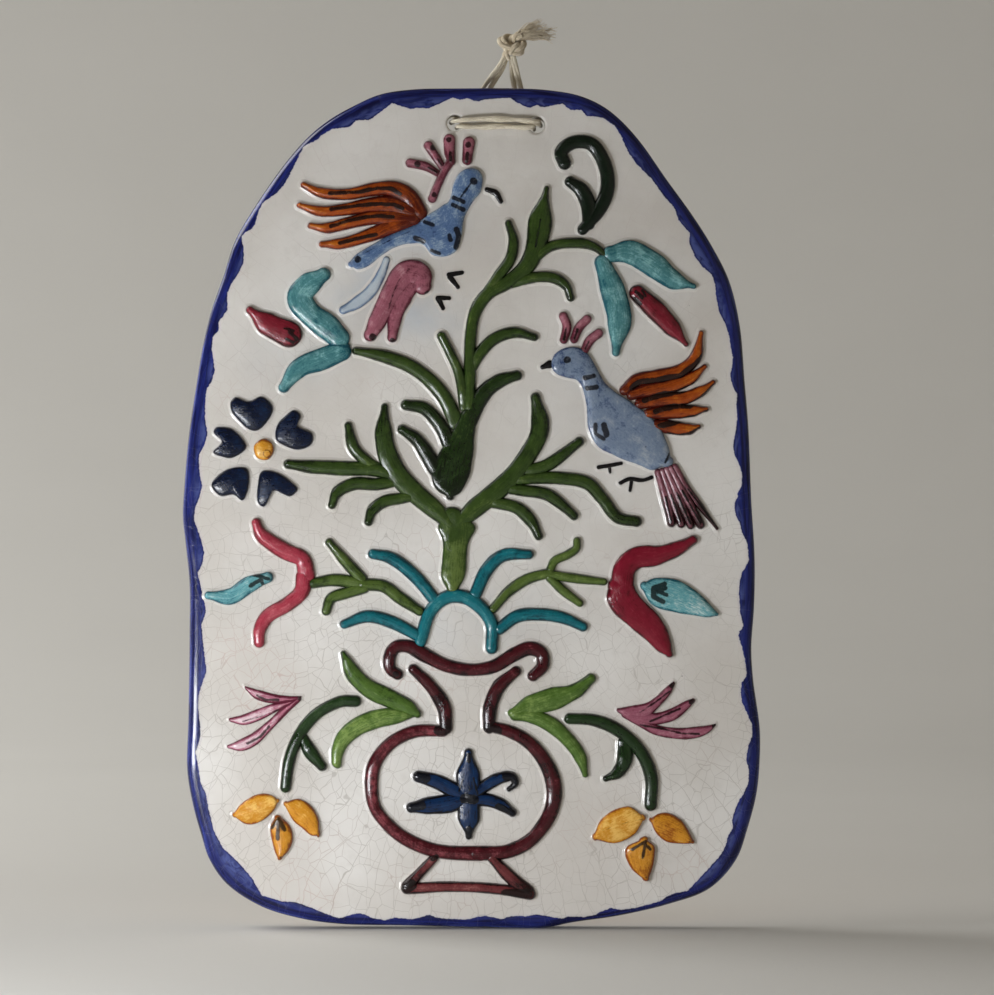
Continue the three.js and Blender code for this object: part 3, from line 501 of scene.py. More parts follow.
def slab_surface():
    """Rows run from the middle of the back, out over the rounded edge and in to the middle of the front.
    A row near the edge is the outline moved inwards; a row further in is the last of these, scaled down."""
    curve, reached = curve_through(SLAB_EDGE, closed=True)
    around = reached[-1]
    lengths = np.linspace(0, around, EDGE_COLUMNS, endpoint=False)
    edge = places_at(curve, reached, lengths)
    along = unit(np.roll(edge, -6, axis=0) - np.roll(edge, 6, axis=0))
    inward = np.stack([along[:, 1], -along[:, 0]], axis=1)
    inner = edge + BAND * inward
    quarter = np.linspace(0, np.pi / 2, ROUND_ROWS)
    spread = np.linspace(0.02, 1, BACK_ROWS)
    close = np.linspace(1, 0.01, INNER_ROWS + 1)[1:]
    insets = np.concatenate([
        np.full(BACK_ROWS, BAND), np.linspace(BAND, EDGE_ROUND, 5)[1:-1],
        EDGE_ROUND * (1 - np.sin(quarter)),
        EDGE_ROUND * (1 - np.cos(quarter)), np.linspace(EDGE_ROUND, BAND, BAND_ROWS)[1:],
        np.full(INNER_ROWS, BAND)])
    scales = np.concatenate([spread, np.ones(len(insets) - BACK_ROWS - INNER_ROWS), close])
    back_depth = np.concatenate([np.zeros(BACK_ROWS + 3), EDGE_ROUND * (1 - np.cos(quarter))])
    rise = np.concatenate([EDGE_ROUND * np.sin(quarter), np.full(BAND_ROWS - 1 + INNER_ROWS, EDGE_ROUND)])
    flat = (edge[None] + insets[:, None, None] * inward[None]) * scales[:, None, None]
    x, z = flat[..., 0], flat[..., 1]
    backs = len(back_depth)
    ease = EASE_SLOPE * np.maximum(z[:backs] - EASE_FROM, 0) * (1 - back_depth / EDGE_ROUND)[:, None]
    y_back = -back_depth[:, None] - ease
    y_front = -(slab_front(x[backs:], z[backs:]) - EDGE_ROUND + rise[:, None])
    y = np.concatenate([y_back, y_front])
    front_row = (np.arange(len(insets)) >= backs)[:, None]
    inside = insets[:, None] + (1 - scales[:, None]) * np.linalg.norm(inner, axis=1)[None, :]
    rim = np.where(front_row, past_border_line(x, z), 4.0)
    bare = np.where(front_row, GLAZED, inside - 1.4 + 0.7 * np.sin(lengths / 9)[None, :])
    bare = np.minimum(bare, BARE_CLAY)
    flow = np.stack(np.broadcast_arrays(lengths[None, :], inside, 0.0), -1)
    stain = sum(s * np.exp(-((x - a) / w) ** 2 - ((z - b) / h) ** 2) for a, b, w, h, s in STAINS)
    places = np.stack([x, y, z], -1).reshape(-1, 3)
    places = np.vstack([places, [0, 0, 0], [0, -slab_front(0, 0), 0]])
    values = {
        "rim": np.append(rim.ravel(), [4, -60]), "bare": np.append(bare.ravel(), [BARE_CLAY, GLAZED]),
        "flow": np.vstack([flow.reshape(-1, 3), [0, 100, 0], [0, 100, 0]]),
        "stain": np.append((stain * front_row).ravel(), [0, 0]),
        "bore": np.zeros(len(places)),
    }
    triangles = grid_triangles(closed_grid(len(insets), EDGE_COLUMNS))
    return places, facing_out(places, triangles), values


def hole_cutter(middle):
    """Bore with a trumpet mouth at each face: the radius opens by a quarter circle towards the face."""
    turn = np.linspace(0, np.pi / 2, MOUTH_STEPS)
    mouth_reach = HOLE_RADIUS + HOLE_FLARE * (1 - np.cos(turn))
    mouth_depth = HOLE_FLARE * (1 - np.sin(turn))
    reach = np.concatenate([mouth_reach[::-1], mouth_reach])
    depth = np.concatenate([mouth_depth[::-1], SLAB_THICK - mouth_depth])
    reach = np.insert(reach, MOUTH_STEPS, [HOLE_RADIUS] * 3)
    depth = np.insert(depth, MOUTH_STEPS, [2.4, 4.5, 6.6])
    reach = np.concatenate([reach[:1], reach, reach[-1:]])
    depth = np.concatenate([[-PAST_FACE], depth, [SLAB_THICK + PAST_FACE]])
    around = np.linspace(0, 2 * np.pi, BORE_SIDES, endpoint=False)
    x = middle[0] + reach[:, None] * np.cos(around)
    z = middle[1] + reach[:, None] * np.sin(around)
    y = np.broadcast_to(-depth[:, None], x.shape)
    places = np.vstack([np.stack([x, y, z], -1).reshape(-1, 3), [middle[0], PAST_FACE, middle[1]],
                        [middle[0], -SLAB_THICK - PAST_FACE, middle[1]]])
    count = len(places)
    values = {"rim": np.full(count, -9.0), "bare": np.full(count, GLAZED), "flow": places.copy(),
              "stain": np.zeros(count), "bore": np.zeros(count)}
    triangles = grid_triangles(closed_grid(len(reach), BORE_SIDES))
    return places, facing_out(places, triangles), values


CRACK_CENTRE = (10, -10)
CRACK_SPREAD = 110


def cracks(tree, spot, tall, wide, bend):
    """Crazing: long lines that fan out and down from a centre, joined by short cross lines, all bent by
    slow and fine clouds. The pattern is a brick wall laid in distance and angle, its bricks tall by wide
    millimetres."""
    slow = add(tree, "TexNoise", {"Vector": spot, "Scale": 26.0, "Detail": 1.0}).outputs["Color"]
    quick = add(tree, "TexNoise", {"Vector": spot, "Scale": 120.0, "Detail": 2.0}).outputs["Color"]
    slow = add(tree, "VectorMath", {0: slow, 1: (bend, bend, bend)}, operation="MULTIPLY").outputs[0]
    quick = add(tree, "VectorMath", {0: quick, 1: (3.4, 3.4, 3.4)}, operation="MULTIPLY").outputs[0]
    bent = add(tree, "VectorMath", {0: slow, 1: quick}, operation="ADD").outputs[0]
    bent = add(tree, "VectorMath", {0: stretched(tree, spot, (1000, 0, 1000)), 1: bent},
               operation="ADD").outputs[0]
    sides = add(tree, "SeparateXYZ", {0: bent})
    across = calc(tree, "SUBTRACT", sides.outputs[0], CRACK_CENTRE[0] + bend / 2)
    down = calc(tree, "SUBTRACT", CRACK_CENTRE[1] + bend / 2, sides.outputs[2])
    reach = calc(tree, "SQRT", calc(tree, "MULTIPLY_ADD", across, across, times(tree, down, down)))
    round_it = times(tree, calc(tree, "ARCTAN2", across, down), CRACK_SPREAD)
    inputs = {"Vector": add(tree, "CombineXYZ", {0: reach, 1: round_it}).outputs[0], "Scale": 1.0,
              "Mortar Size": 0.12, "Mortar Smooth": 0.7, "Brick Width": tall, "Row Height": wide}
    lines = add(tree, "TexBrick", inputs, offset=0.37, squash=1.6, squash_frequency=3).outputs["Fac"]
    return times(tree, lines, eased(tree, reach, 30, 60))


def crack_net(tree, spot):
    """Crazing: a net of small uneven cells, a little taller than wide."""
    bend = add(tree, "TexNoise", {"Vector": spot, "Scale": 90.0, "Detail": 2.0}).outputs["Color"]
    bend = add(tree, "VectorMath", {0: bend, 1: (0.9, 0.9, 0.9)}, operation="MULTIPLY").outputs[0]
    cells = add(tree, "VectorMath", {0: stretched(tree, spot, (230, 0, 165)), 1: bend},
                operation="ADD").outputs[0]
    gap = add(tree, "TexVoronoi", {"Vector": cells, "Scale": 1.0},
              feature="DISTANCE_TO_EDGE").outputs["Distance"]
    return eased(tree, gap, 0.006, 0.024, 1, 0)


def crackled_glaze():
    """Node group: the slab's own glaze. Cream white in soft clouds, a net of fine grey-brown crazing lines
    that run mostly upright, tiny specks, and a faint orange-peel skin."""
    tree = bpy.data.node_groups.new("crackled_glaze", "ShaderNodeTree")
    for name, kind in (("Color", "NodeSocketColor"), ("Height", "NodeSocketFloat"),
                       ("Roughness", "NodeSocketFloat")):
        tree.interface.new_socket(name, in_out="OUTPUT", socket_type=kind)
    spot = add(tree, "TexCoord").outputs["Object"]
    clouds = noise(tree, spot, 16, 4, 0.55)
    fine = noise(tree, spot, 130, 4, 0.6)
    cream = mixed(tree, eased(tree, clouds, 0.35, 0.66), linear(208, 203, 196), linear(226, 223, 218))
    cream = mixed(tree, times(tree, eased(tree, fine, 0.5, 0.75), 0.3), cream, linear(200, 195, 188))
    parts = add(tree, "SeparateXYZ", {0: spot})
    low_left = calc(tree, "SUBTRACT", times(tree, parts.outputs[2], -2.6),
                    times(tree, parts.outputs[0], 1.6))
    strength = plus(tree, noise(tree, spot, 9, 3, 0.5), low_left)
    wide = cracks(tree, spot, 12.0, 6.4, 22.0)
    tight = crack_net(tree, spot)
    broken = noise(tree, spot, 70, 2, 0.5)
    wide = times(tree, wide, eased(tree, plus(tree, strength, broken), 0.75, 1.25, 0.12, 0.9))
    tight = times(tree, tight, eased(tree, plus(tree, strength, broken), 0.8, 1.3, 0.06, 0.75))
    lines = calc(tree, "MAXIMUM", wide, tight)
    line_tint = mixed(tree, eased(tree, noise(tree, spot, 24, 2), 0.5, 0.66), linear(150, 142, 132),
                      linear(176, 142, 130))
    colour = mixed(tree, times(tree, lines, 0.6), cream, line_tint)
    dots = add(tree, "TexVoronoi", {"Vector": stretched(tree, spot, (90, 0, 90)), "Scale": 1.0},
               feature="F1")
    dot_pick = add(tree, "SeparateColor", {0: dots.outputs["Color"]}).outputs[0]
    speck = times(tree, eased(tree, dots.outputs["Distance"], 0.012, 0.028, 1, 0),
                 eased(tree, dot_pick, 0.7, 0.72))
    colour = mixed(tree, times(tree, speck, 0.75), colour, linear(74, 62, 54))
    peel = noise(tree, spot, 420, 2, 0.5)
    swell = noise(tree, spot, 55, 2, 0.5)
    height = calc(tree, "MULTIPLY_ADD", swell, 1.0, times(tree, peel, 0.16))
    height = calc(tree, "SUBTRACT", height, times(tree, calc(tree, "MAXIMUM", lines, speck), 0.05))
    roughness = plus(tree, eased(tree, fine, 0.3, 0.7, 0.1, 0.2), times(tree, lines, 0.25))
    out = tree.nodes.new("NodeGroupOutput")
    for key, value in (("Color", colour), ("Height", height), ("Roughness", roughness)):
        tree.links.new(value, out.inputs[key])
    return tree


CRACKLED = crackled_glaze()


def glaze_shader(shader):
    """The constant gloss of a fired, clear-coated glaze."""
    shader.inputs["IOR"].default_value = 1.5
    shader.inputs["Specular IOR Level"].default_value = 0.3
    shader.inputs["Coat Weight"].default_value = 0.22
    shader.inputs["Coat Roughness"].default_value = 0.05
    shader.inputs["Coat IOR"].default_value = 1.5


def slab_finish():
    """Crazed cream glaze, the brushed cobalt border where rim is above nought, paled on its rounded outer
    edge as a painted highlight, bare clay where bare is above nought, and painted shade, dark brown, far
    inside the holes where bore is above nought."""
    material, tree, shader = new_material("slab_glaze")
    white = tree.nodes.new("ShaderNodeGroup")
    white.node_tree = CRACKLED
    spot = add(tree, "TexCoord").outputs["Object"]
    flow = attribute(tree, "flow", "Vector")
    stroke = noise(tree, stretched(tree, flow, (0.05, 0.85, 1)), 1.0, 5, 0.62, 0.6)
    dabs = noise(tree, stretched(tree, flow, (0.16, 0.3, 1), (5, 2, 0)), 1.0, 3, 0.5, 1.2)
    cobalt = mixed(tree, eased(tree, stroke, 0.32, 0.72), linear(11, 14, 56), linear(32, 42, 118))
    inset = add(tree, "SeparateXYZ", {0: flow}).outputs[1]
    ragged = calc(tree, "MULTIPLY_ADD", noise(tree, spot, 900, 2), 0.7, -0.35)
    rim = plus(tree, attribute(tree, "rim"), ragged)
    thin = times(tree, eased(tree, inset, 2.6, 5.6), eased(tree, rim, 0.1, 0.9))
    thin = times(tree, thin, eased(tree, dabs, 0.36, 0.62, 0.1, 0.8))
    cobalt = mixed(tree, thin, cobalt, linear(78, 90, 150))
    # Painted highlight: the cobalt is paler on the rounded outer edge of the rim, all round the slab.
    painted_edge_highlight = times(tree, eased(tree, inset, 0.3, 1.9, 1, 0), eased(tree, stroke, 0.4, 0.75))
    cobalt = mixed(tree, times(tree, painted_edge_highlight, 0.5), cobalt, linear(88, 102, 172))
    painted = eased(tree, rim, -0.12, 0.2)
    bleed = times(tree, eased(tree, rim, -0.8, 0.0), 0.16)
    haze = times(tree, attribute(tree, "stain"), eased(tree, noise(tree, spot, 60, 3), 0.35, 0.7, 0.3, 1))
    colour = mixed(tree, haze, white.outputs[0], linear(172, 184, 196))
    colour = mixed(tree, bleed, colour, linear(158, 166, 200))
    colour = mixed(tree, painted, colour, cobalt)
    grog = noise(tree, spot, 700, 4, 0.7)
    clay = mixed(tree, eased(tree, grog, 0.35, 0.7), linear(176, 138, 108), linear(206, 172, 142))
    clay = mixed(tree, eased(tree, noise(tree, spot, 22, 3), 0.45, 0.7, 0, 0.5), clay,
                 linear(222, 200, 176))
    unglazed = eased(tree, plus(tree, attribute(tree, "bare"), times(tree, grog, 0.8)), -0.2, 0.4)
    colour = mixed(tree, unglazed, colour, clay)
    # Painted shade: the glaze turns dark brown inside the holes, where bore rises.
    colour = mixed(tree, times(tree, attribute(tree, "bore"), 0.85), colour, linear(58, 46, 38))
    tree.links.new(colour, shader.inputs["Base Color"])
    roughness = plus(tree, white.outputs[2], times(tree, unglazed, 0.6))
    tree.links.new(roughness, shader.inputs["Roughness"])
    glaze_shader(shader)
    height = plus(tree, white.outputs[1], times(tree, times(tree, painted, stroke), 0.35))
    height = calc(tree, "MULTIPLY_ADD", times(tree, unglazed, grog), 0.3, height)
    set_bump(tree, shader, height, 0.6, 0.0004)
    return material


slab = new_piece("plaque_slab", *slab_surface(), [slab_finish()])
cutter = new_piece("hole_cutter", *joined([hole_cutter(middle) for middle in HOLES]),
                   [slab.data.materials[0]])
bore = slab.modifiers.new("holes", "BOOLEAN")
bore.object = cutter
bore.operation = "DIFFERENCE"
bore.solver = "EXACT"
bored = slab.evaluated_get(bpy.context.evaluated_depsgraph_get())
bored_mesh = bpy.data.meshes.new_from_object(bored)
slab.modifiers.clear()
slab.data = bored_mesh
bpy.data.objects.remove(cutter)
count = len(bored_mesh.vertices)
bored_places = np.empty(3 * count, np.float32)
bored_mesh.vertices.foreach_get("co", bored_places)
bored_places = bored_places.reshape(-1, 3) / MM
off_hole = np.min([np.hypot(bored_places[:, 0] - x, bored_places[:, 2] - z) for x, z in HOLES], axis=0)
at_hole = off_hole < HOLE_RADIUS + HOLE_FLARE + 0.05
# Painted shade inside the holes: bore rises from nought near each face to one further in.
painted_hole_shade = np.clip(np.minimum(-bored_places[:, 1], SLAB_THICK + bored_places[:, 1]) / 2.2 - 0.3, 0, 1)
bare_mouth = np.where(bored_places[:, 1] > -0.6, BARE_CLAY, GLAZED)
hole_values = {"rim": -9, "bare": bare_mouth, "bore": painted_hole_shade}
for key, value in hole_values.items():
    kept = np.empty(count, np.float32)
    slots = bored_mesh.attributes[key].data
    slots.foreach_get("value", kept)
    slots.foreach_set("value", np.where(at_hole, value, kept).astype(np.float32))
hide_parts("plaque")
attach(slab, "root")

# ---- Left bird
# Rolled coils and pads of clay pressed on the slab: a blue body, a wing of four orange feathers, a mauve
# crest, and legs in mauve and pale blue, brushed in coloured glaze, with the dark marks put on last.
COIL_HEIGHT = 2.2
PAD_HEIGHT = 2.5
FOOT = 0.3
SKIRT_REACH = np.array([0.28, 0.7, 1.3, 1.3])
SKIRT_LIFT = np.array([0.17, 0.05, -0.04, -0.6])
CAP_ROWS = 7
SIDE_WANDER = 0.045


def wander(lengths, seed, size):
    """Slow unevenness of hand work: three waves of different length, with phases drawn from the seed."""
    phases = np.random.default_rng(seed).uniform(0, 2 * np.pi, 3)
    waves = np.sin(lengths / 2.1 + phases[0]) + 1.4 * np.sin(lengths / 4.7 + phases[1])
    return size * (0.45 * waves + 0.9 * np.sin(lengths / 9.3 + phases[2])) / 1.6


def widths_along(widths, share):
    """Widths given evenly along a coil, eased from each to the next."""
    widths = np.asarray(widths, float)
    place = share * (len(widths) - 1)
    before = np.minimum(np.floor(place).astype(int), len(widths) - 2)
    part = place - before
    return widths[before] + (widths[before + 1] - widths[before]) * part * part * (3 - 2 * part)


def clay_body(spine, left, half, lengths, top, seed, shade, paint, columns):
    """Pressed clay: its section, half an oval on a small concave foot of glaze, is carried along the spine
    and swung round by a half turn at each end. The tone goes from shade's first value to its second."""
    along = unit(np.gradient(spine, lengths, axis=0))
    swing = np.radians(np.linspace(90, 0, CAP_ROWS + 1)[:-1])
    rows = len(spine)
    swings = np.concatenate([swing, np.zeros(rows), swing[::-1]])[:, None]
    ahead = np.concatenate([-np.ones(CAP_ROWS), np.zeros(rows), np.ones(CAP_ROWS)])[:, None]
    whole = np.concatenate([np.zeros(CAP_ROWS, int), np.arange(rows), np.full(CAP_ROWS, rows - 1)])
    end = lengths[-1]
    spine, along, left, half, top, lengths = (v[whole] for v in (spine, along, left, half, top, lengths))
    forward = ahead * np.sin(swings) * along
    to_left = np.cos(swings) * left + forward
    to_right = -np.cos(swings) * left + forward
    theta = np.radians(np.linspace(0, 90, columns))
    squash = np.clip(1.15 * top / half, 0.42, 0.9)[:, None]
    foot = np.minimum(FOOT, 0.5 * top)[:, None]
    body = half[:, None] * np.sin(theta)
    lift = foot + (top[:, None] - foot) * np.cos(theta).clip(0) ** squash
    skirt = half[:, None] + SKIRT_REACH
    reach = np.concatenate([body, skirt], axis=1)
    lift = np.concatenate([lift, SKIRT_LIFT * np.where(SKIRT_LIFT > 0, foot / FOOT, 1)], axis=1)
    flat = []
    for side, across in ((1, to_left), (2, to_right)):
        uneven = reach * (1 + wander(lengths, seed + side, SIDE_WANDER))[:, None]
        flat.append(spine[:, None] + uneven[..., None] * across[:, None])
    flat = np.concatenate([flat[0][:, ::-1], flat[1][:, 1:]], axis=1)
    lift = np.concatenate([lift[:, ::-1], lift[:, 1:]], axis=1)
    past = reach - half[:, None]
    edge = np.concatenate([past[:, ::-1], past[:, 1:]], axis=1)
    beside = np.concatenate([reach[:, ::-1], -reach[:, 1:]], axis=1)
    x, z = flat[..., 0], flat[..., 1]
    y = -(slab_front(x, z) + lift)
    beyond = lengths[:, None] + ahead * np.sin(swings) * np.abs(beside)
    flow = np.stack(np.broadcast_arrays(beyond, beside, float(seed % 97)), -1)
    tone = shade[0] + (shade[1] - shade[0]) * np.clip(beyond / end, 0, 1)
    index = np.arange(x.size).reshape(x.shape)
    middle = x.shape[1] // 2
    index[:CAP_ROWS, middle] = index[CAP_ROWS, middle]
    index[-CAP_ROWS:, middle] = index[-CAP_ROWS - 1, middle]
    index[0, middle + 1:] = index[0, :middle][::-1]
    index[-1, middle + 1:] = index[-1, :middle][::-1]
    index = np.concatenate([index, index[:, :1]], axis=1)
    triangles = grid_triangles(index)
    used = np.unique(triangles)
    places = np.stack([x, y, z], -1).reshape(-1, 3)[used]
    triangles = np.searchsorted(used, triangles)
    values = {"edge": edge.ravel()[used], "flow": flow.reshape(-1, 3)[used], "tone": tone.ravel()[used],
              "paint": np.full(len(used), paint)}
    return places, facing_out(places, triangles), values


def coil(points, widths, height=COIL_HEIGHT, shade=(0.6, 0.4), under=False, paint=0, fine=False):
    """Coil of clay along a curve through the points, its widths eased from one to the next. One that lies
    under another starts lower."""
    seed = int(abs(points[0][0] * 37 + points[-1][1] * 101 + points[-1][0] * 13))
    curve, reached = curve_through(points)
    lengths = np.linspace(0, reached[-1], max(10, int(reached[-1] / (0.4 if fine else 0.7))))
    spine = places_at(curve, reached, lengths)
    along = unit(np.gradient(spine, lengths, axis=0))
    left = np.stack([-along[:, 1], along[:, 0]], axis=1)
    half = 0.5 * widths_along(widths, lengths / reached[-1])
    top = height * np.minimum(1, (half / 1.7) ** 0.55) * (1 + wander(lengths, seed, 0.05))
    if under:
        rise = np.clip(lengths / 6, 0, 1)
        top = top * (0.62 + 0.38 * rise * rise * (3 - 2 * rise))
    return clay_body(spine, left, half, lengths, top, seed, shade, paint, 14 if fine else 9)


def ribbed_pad(ribs, height=PAD_HEIGHT, shade=(0.5, 0.5), paint=0):
    """Pad of clay between two outlines, given as ribs from one outline to the other: x and z of the rib's
    one end, x and z of its other end. The section stands on each rib."""
    curve, reached = curve_through(ribs)
    lengths = np.linspace(0, reached[-1], int(reached[-1] / 0.5))
    ends = places_at(curve, reached, lengths)
    across = ends[:, :2] - ends[:, 2:]
    half = 0.5 * np.linalg.norm(across, axis=1)
    top = height * np.minimum(1, (half / 1.7) ** 0.55)
    columns = int(np.clip(half.max() / 0.4, 9, 24))
    spine = (ends[:, :2] + ends[:, 2:]) / 2
    return clay_body(spine, unit(across), half, lengths, top, len(ribs), shade, paint, columns)


def ink_distance(places, marks):
    """How far each vertex is outside the nearest dark mark, less than nought inside it. A mark is a brush
    line through a few points, with a half width."""
    nearest = np.full(len(places), 9.0)
    here = places[:, [0, 2]]
    for line, half in marks:
        corners = np.asarray(line, float)
        if len(corners) == 1:
            corners = np.vstack([corners, corners + 0.01])
        nearest = np.minimum(nearest, off_line(here, corners) - half)
    return nearest


def brushed_glaze(name, dark, main, light, ink=(14, 12, 14), streak=0.5, mottle=0.4, pool=0.5,
                  rim_tint=None):
    """Coloured glaze brushed on raised clay: streaks along the coil, clouds, a darker pool at its foot,
    dark marks where ink is below nought, and the slab's own glaze beyond the coil's edge."""
    material, tree, shader = new_material(name)
    white = tree.nodes.new("ShaderNodeGroup")
    white.node_tree = CRACKLED
    spot = add(tree, "TexCoord").outputs["Object"]
    flow = attribute(tree, "flow", "Vector")
    edge = attribute(tree, "edge")
    hair = noise(tree, stretched(tree, flow, (0.22, 2.4, 1.7)), 1.0, 4, 0.6, 0.5)
    cloud = noise(tree, stretched(tree, spot, (1, 0.2, 1)), 230, 4, 0.62, 0.6)
    grain = noise(tree, spot, 1500, 2, 0.5)
    tone = plus(tree, attribute(tree, "tone"),
                times(tree, calc(tree, "SUBTRACT", hair, 0.5), 2.2 * streak))
    tone = plus(tree, tone, times(tree, calc(tree, "SUBTRACT", cloud, 0.5), 2.4 * mottle))
    tone = plus(tree, tone, times(tree, calc(tree, "SUBTRACT", grain, 0.5), 0.8 * mottle))
    pooled = times(tree, eased(tree, edge, -1.25, -0.1), 0.8 * pool)
    tone = calc(tree, "SUBTRACT", tone, pooled)
    colour = mixed(tree, eased(tree, tone, -0.05, 0.5), linear(*dark), linear(*main))
    colour = mixed(tree, eased(tree, tone, 0.5, 1.05), colour, linear(*light))
    ragged = plus(tree, attribute(tree, "ink"), calc(tree, "MULTIPLY_ADD", cloud, 1.2, -0.6))
    inked = eased(tree, ragged, -0.2, 0.24, 1, 0)
    colour = mixed(tree, times(tree, inked, 0.94), colour, linear(*ink))
    shore = plus(tree, edge, calc(tree, "MULTIPLY_ADD", cloud, 0.5, -0.25))
    covered = eased(tree, shore, -0.1, 0.14, 1, 0)
    bled = times(tree, eased(tree, shore, 0.1, 0.85, 1, 0), 0.14)
    ground = mixed(tree, bled, white.outputs[0], linear(*(rim_tint or main)))
    tree.links.new(mixed(tree, covered, ground, colour), shader.inputs["Base Color"])
    roughness = plus(tree, eased(tree, cloud, 0.3, 0.75, 0.09, 0.24), times(tree, inked, 0.08))
    tree.links.new(roughness, shader.inputs["Roughness"])
    glaze_shader(shader)
    brushed = calc(tree, "MULTIPLY_ADD", hair, 0.5, times(tree, cloud, 0.5))
    height = calc(tree, "MULTIPLY_ADD", times(tree, brushed, covered), 0.8, white.outputs[1])
    height = calc(tree, "MULTIPLY_ADD", inked, 0.12, height)
    set_bump(tree, shader, height, 0.7, 0.0004)
    return material


def relief(name, coils, materials, marks=()):
    """One motif of the relief: its coils in one mesh, each in the material of its paint number."""
    places, triangles, values = joined(coils)
    values["ink"] = ink_distance(places, marks)
    material_of = values.pop("paint")[triangles[:, 0]]
    piece = new_piece(name, places, triangles, values, materials, material_of)
    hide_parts("plaque")
    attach(piece, "root")


BIRD_BLUE = brushed_glaze("bird_blue", (36, 54, 96), (84, 110, 148), (146, 166, 186), (13, 12, 20),
                          0.45, 0.75, -0.35, (150, 172, 205))
FEATHER_ORANGE = brushed_glaze("feather_orange", (78, 20, 8), (152, 66, 14), (206, 122, 32), (18, 9, 7),
                               0.5, 0.35, 0.75)
DUSTY_MAUVE = brushed_glaze("dusty_mauve", (92, 36, 50), (150, 88, 102), (190, 140, 148), (26, 8, 12),
                            0.35, 0.6, 0.7)
PALE_BLUE = brushed_glaze("pale_blue", (104, 124, 152), (178, 190, 200), (208, 212, 212), (20, 20, 30),
                          0.3, 0.3, 0.8)
BLACK_BRUSH = brushed_glaze("black_brush", (9, 8, 10), (17, 15, 19), (40, 38, 44), (9, 8, 10), 0.3, 0.2,
                            0.2, (120, 120, 128))

LEFT_WIDTHS = [2.2, 4, 4.4, 5.2, 6.2, 5.6]
left_feathers = [
    [(-60.2, 115.3), (-54.2, 112.6), (-44.5, 111.9), (-35, 113.8), (-28, 113.9), (-22.4, 111),
     (-18.8, 105.5)],
    [(-61.6, 108), (-54.2, 105.9), (-44.5, 106.6), (-35, 108.2), (-28, 108), (-21.5, 105.6)],
    [(-57.6, 100.7), (-52, 99.9), (-44.5, 101.6), (-35, 103.6), (-28, 103.4), (-21, 103.2)],
    [(-53.6, 94.1), (-47, 94.3), (-37.4, 97), (-30, 100), (-23, 102.4)],
]
left_stripes = [
    [(-50.6, 112.1), (-39.8, 112.7), (-33.3, 114), (-29, 113.8), (-25.5, 111.9)],
    [(-50.2, 106.5), (-40.7, 107.8), (-32, 108.4), (-27.7, 108), (-24.7, 106.7)],
    [(-50.2, 100.4), (-44.1, 102.4), (-37.6, 103.7), (-32.5, 104.1), (-28.1, 103.7)],
    [(-47.1, 94.4), (-40.7, 96.1), (-34.2, 97.4)],
]
left_body = [
    (-43.6, 87.9, -42.6, 86), (-41.5, 90.3, -40.7, 85.2), (-37.5, 92.8, -36.5, 86.6),
    (-33.3, 95.3, -32.3, 90), (-28.5, 97.8, -28, 92.7), (-23.5, 100, -22.5, 94.5),
    (-19.5, 101.8, -17.5, 94), (-17, 103.7, -14.3, 90.5), (-14.3, 105.4, -10, 89.7),
    (-11.7, 106.9, -5.7, 91.8), (-9.8, 108.2, -3.6, 97.4), (-8.3, 109.5, -2.7, 103.5),
    (-7.2, 112, 0.2, 108.9), (-6.9, 114.5, 3, 112.7), (-5.9, 117, 3.6, 116.2),
]
left_claws = [
    ([(-8.2, 83.2), (-3.6, 84)], [1.9, 1.5]),
    ([(-7.9, 82.4), (-5.1, 78.8)], [2, 1.6]),
    ([(-12.2, 75), (-8.2, 74.9)], [1.7, 1.4]),
    ([(-12.1, 74.8), (-10.4, 71.3)], [2, 1.4]),
]
left_bird = [
    *[coil(spine, LEFT_WIDTHS, shade=(0.8, 0.1), paint=1, fine=True) for spine in left_feathers],
    ribbed_pad(left_body, shade=(0.45, 0.6)),
    coil([(-22.2, 123.1), (-16.4, 121.8), (-12.6, 119.6)], [3.2, 3.3, 2.6], 1.8, (0.7, 0.1), paint=2,
         fine=True),
    coil([(-15.6, 129.3), (-13.4, 126), (-10.6, 121.6)], [3.4, 3.2, 2.6], 1.8, (0.7, 0.1), paint=2,
         fine=True),
    coil([(-8.1, 131.4), (-8, 127), (-7.4, 123.6)], [4.2, 4, 3], 2, (0.7, 0.1), paint=2, fine=True),
    coil([(-1.1, 130.4), (-1.8, 124.2)], [4.4, 3.8], 2, (0.7, 0.1), paint=2, fine=True),
    coil([(-7.8, 123.6), (-10.2, 119.6), (-12.6, 114.4), (-14.2, 110.4)], [3.2, 3, 3, 3.2], 1.8,
         (0.1, 0.6), paint=2, fine=True),
    coil([(5.3, 113.6), (8.4, 112.4), (10.2, 109.4)], [1.6, 2.2, 1.8], 1.2, (0.4, 0.2), paint=4),
    coil([(-21, 82), (-24.5, 76.5), (-27.2, 69), (-28.5, 60.8)], [8, 7.2, 5.4, 3.6], 1.9, (0.3, 0.45),
         paint=2, fine=True),
    coil([(-17.6, 79.2), (-18.3, 82.8), (-23.2, 83.9), (-27.6, 78.6), (-31.3, 71.5), (-34.5, 65),
          (-36.3, 61.7)], [6.4, 9.4, 9, 7.6, 7.2, 6.6, 4.8], PAD_HEIGHT, (0.4, 0.6), paint=2, fine=True),
    coil([(-30.6, 88.5), (-32.4, 83.6), (-36.2, 77.3), (-41.6, 72.9), (-46, 70.6)],
         [2.4, 3.2, 4.2, 4.6, 3], 1.3, (0.75, 0.5), paint=3, fine=True),
    *[coil(spine, widths, 0.3, (0.2, 0.2), paint=4) for spine, widths in left_claws],
]
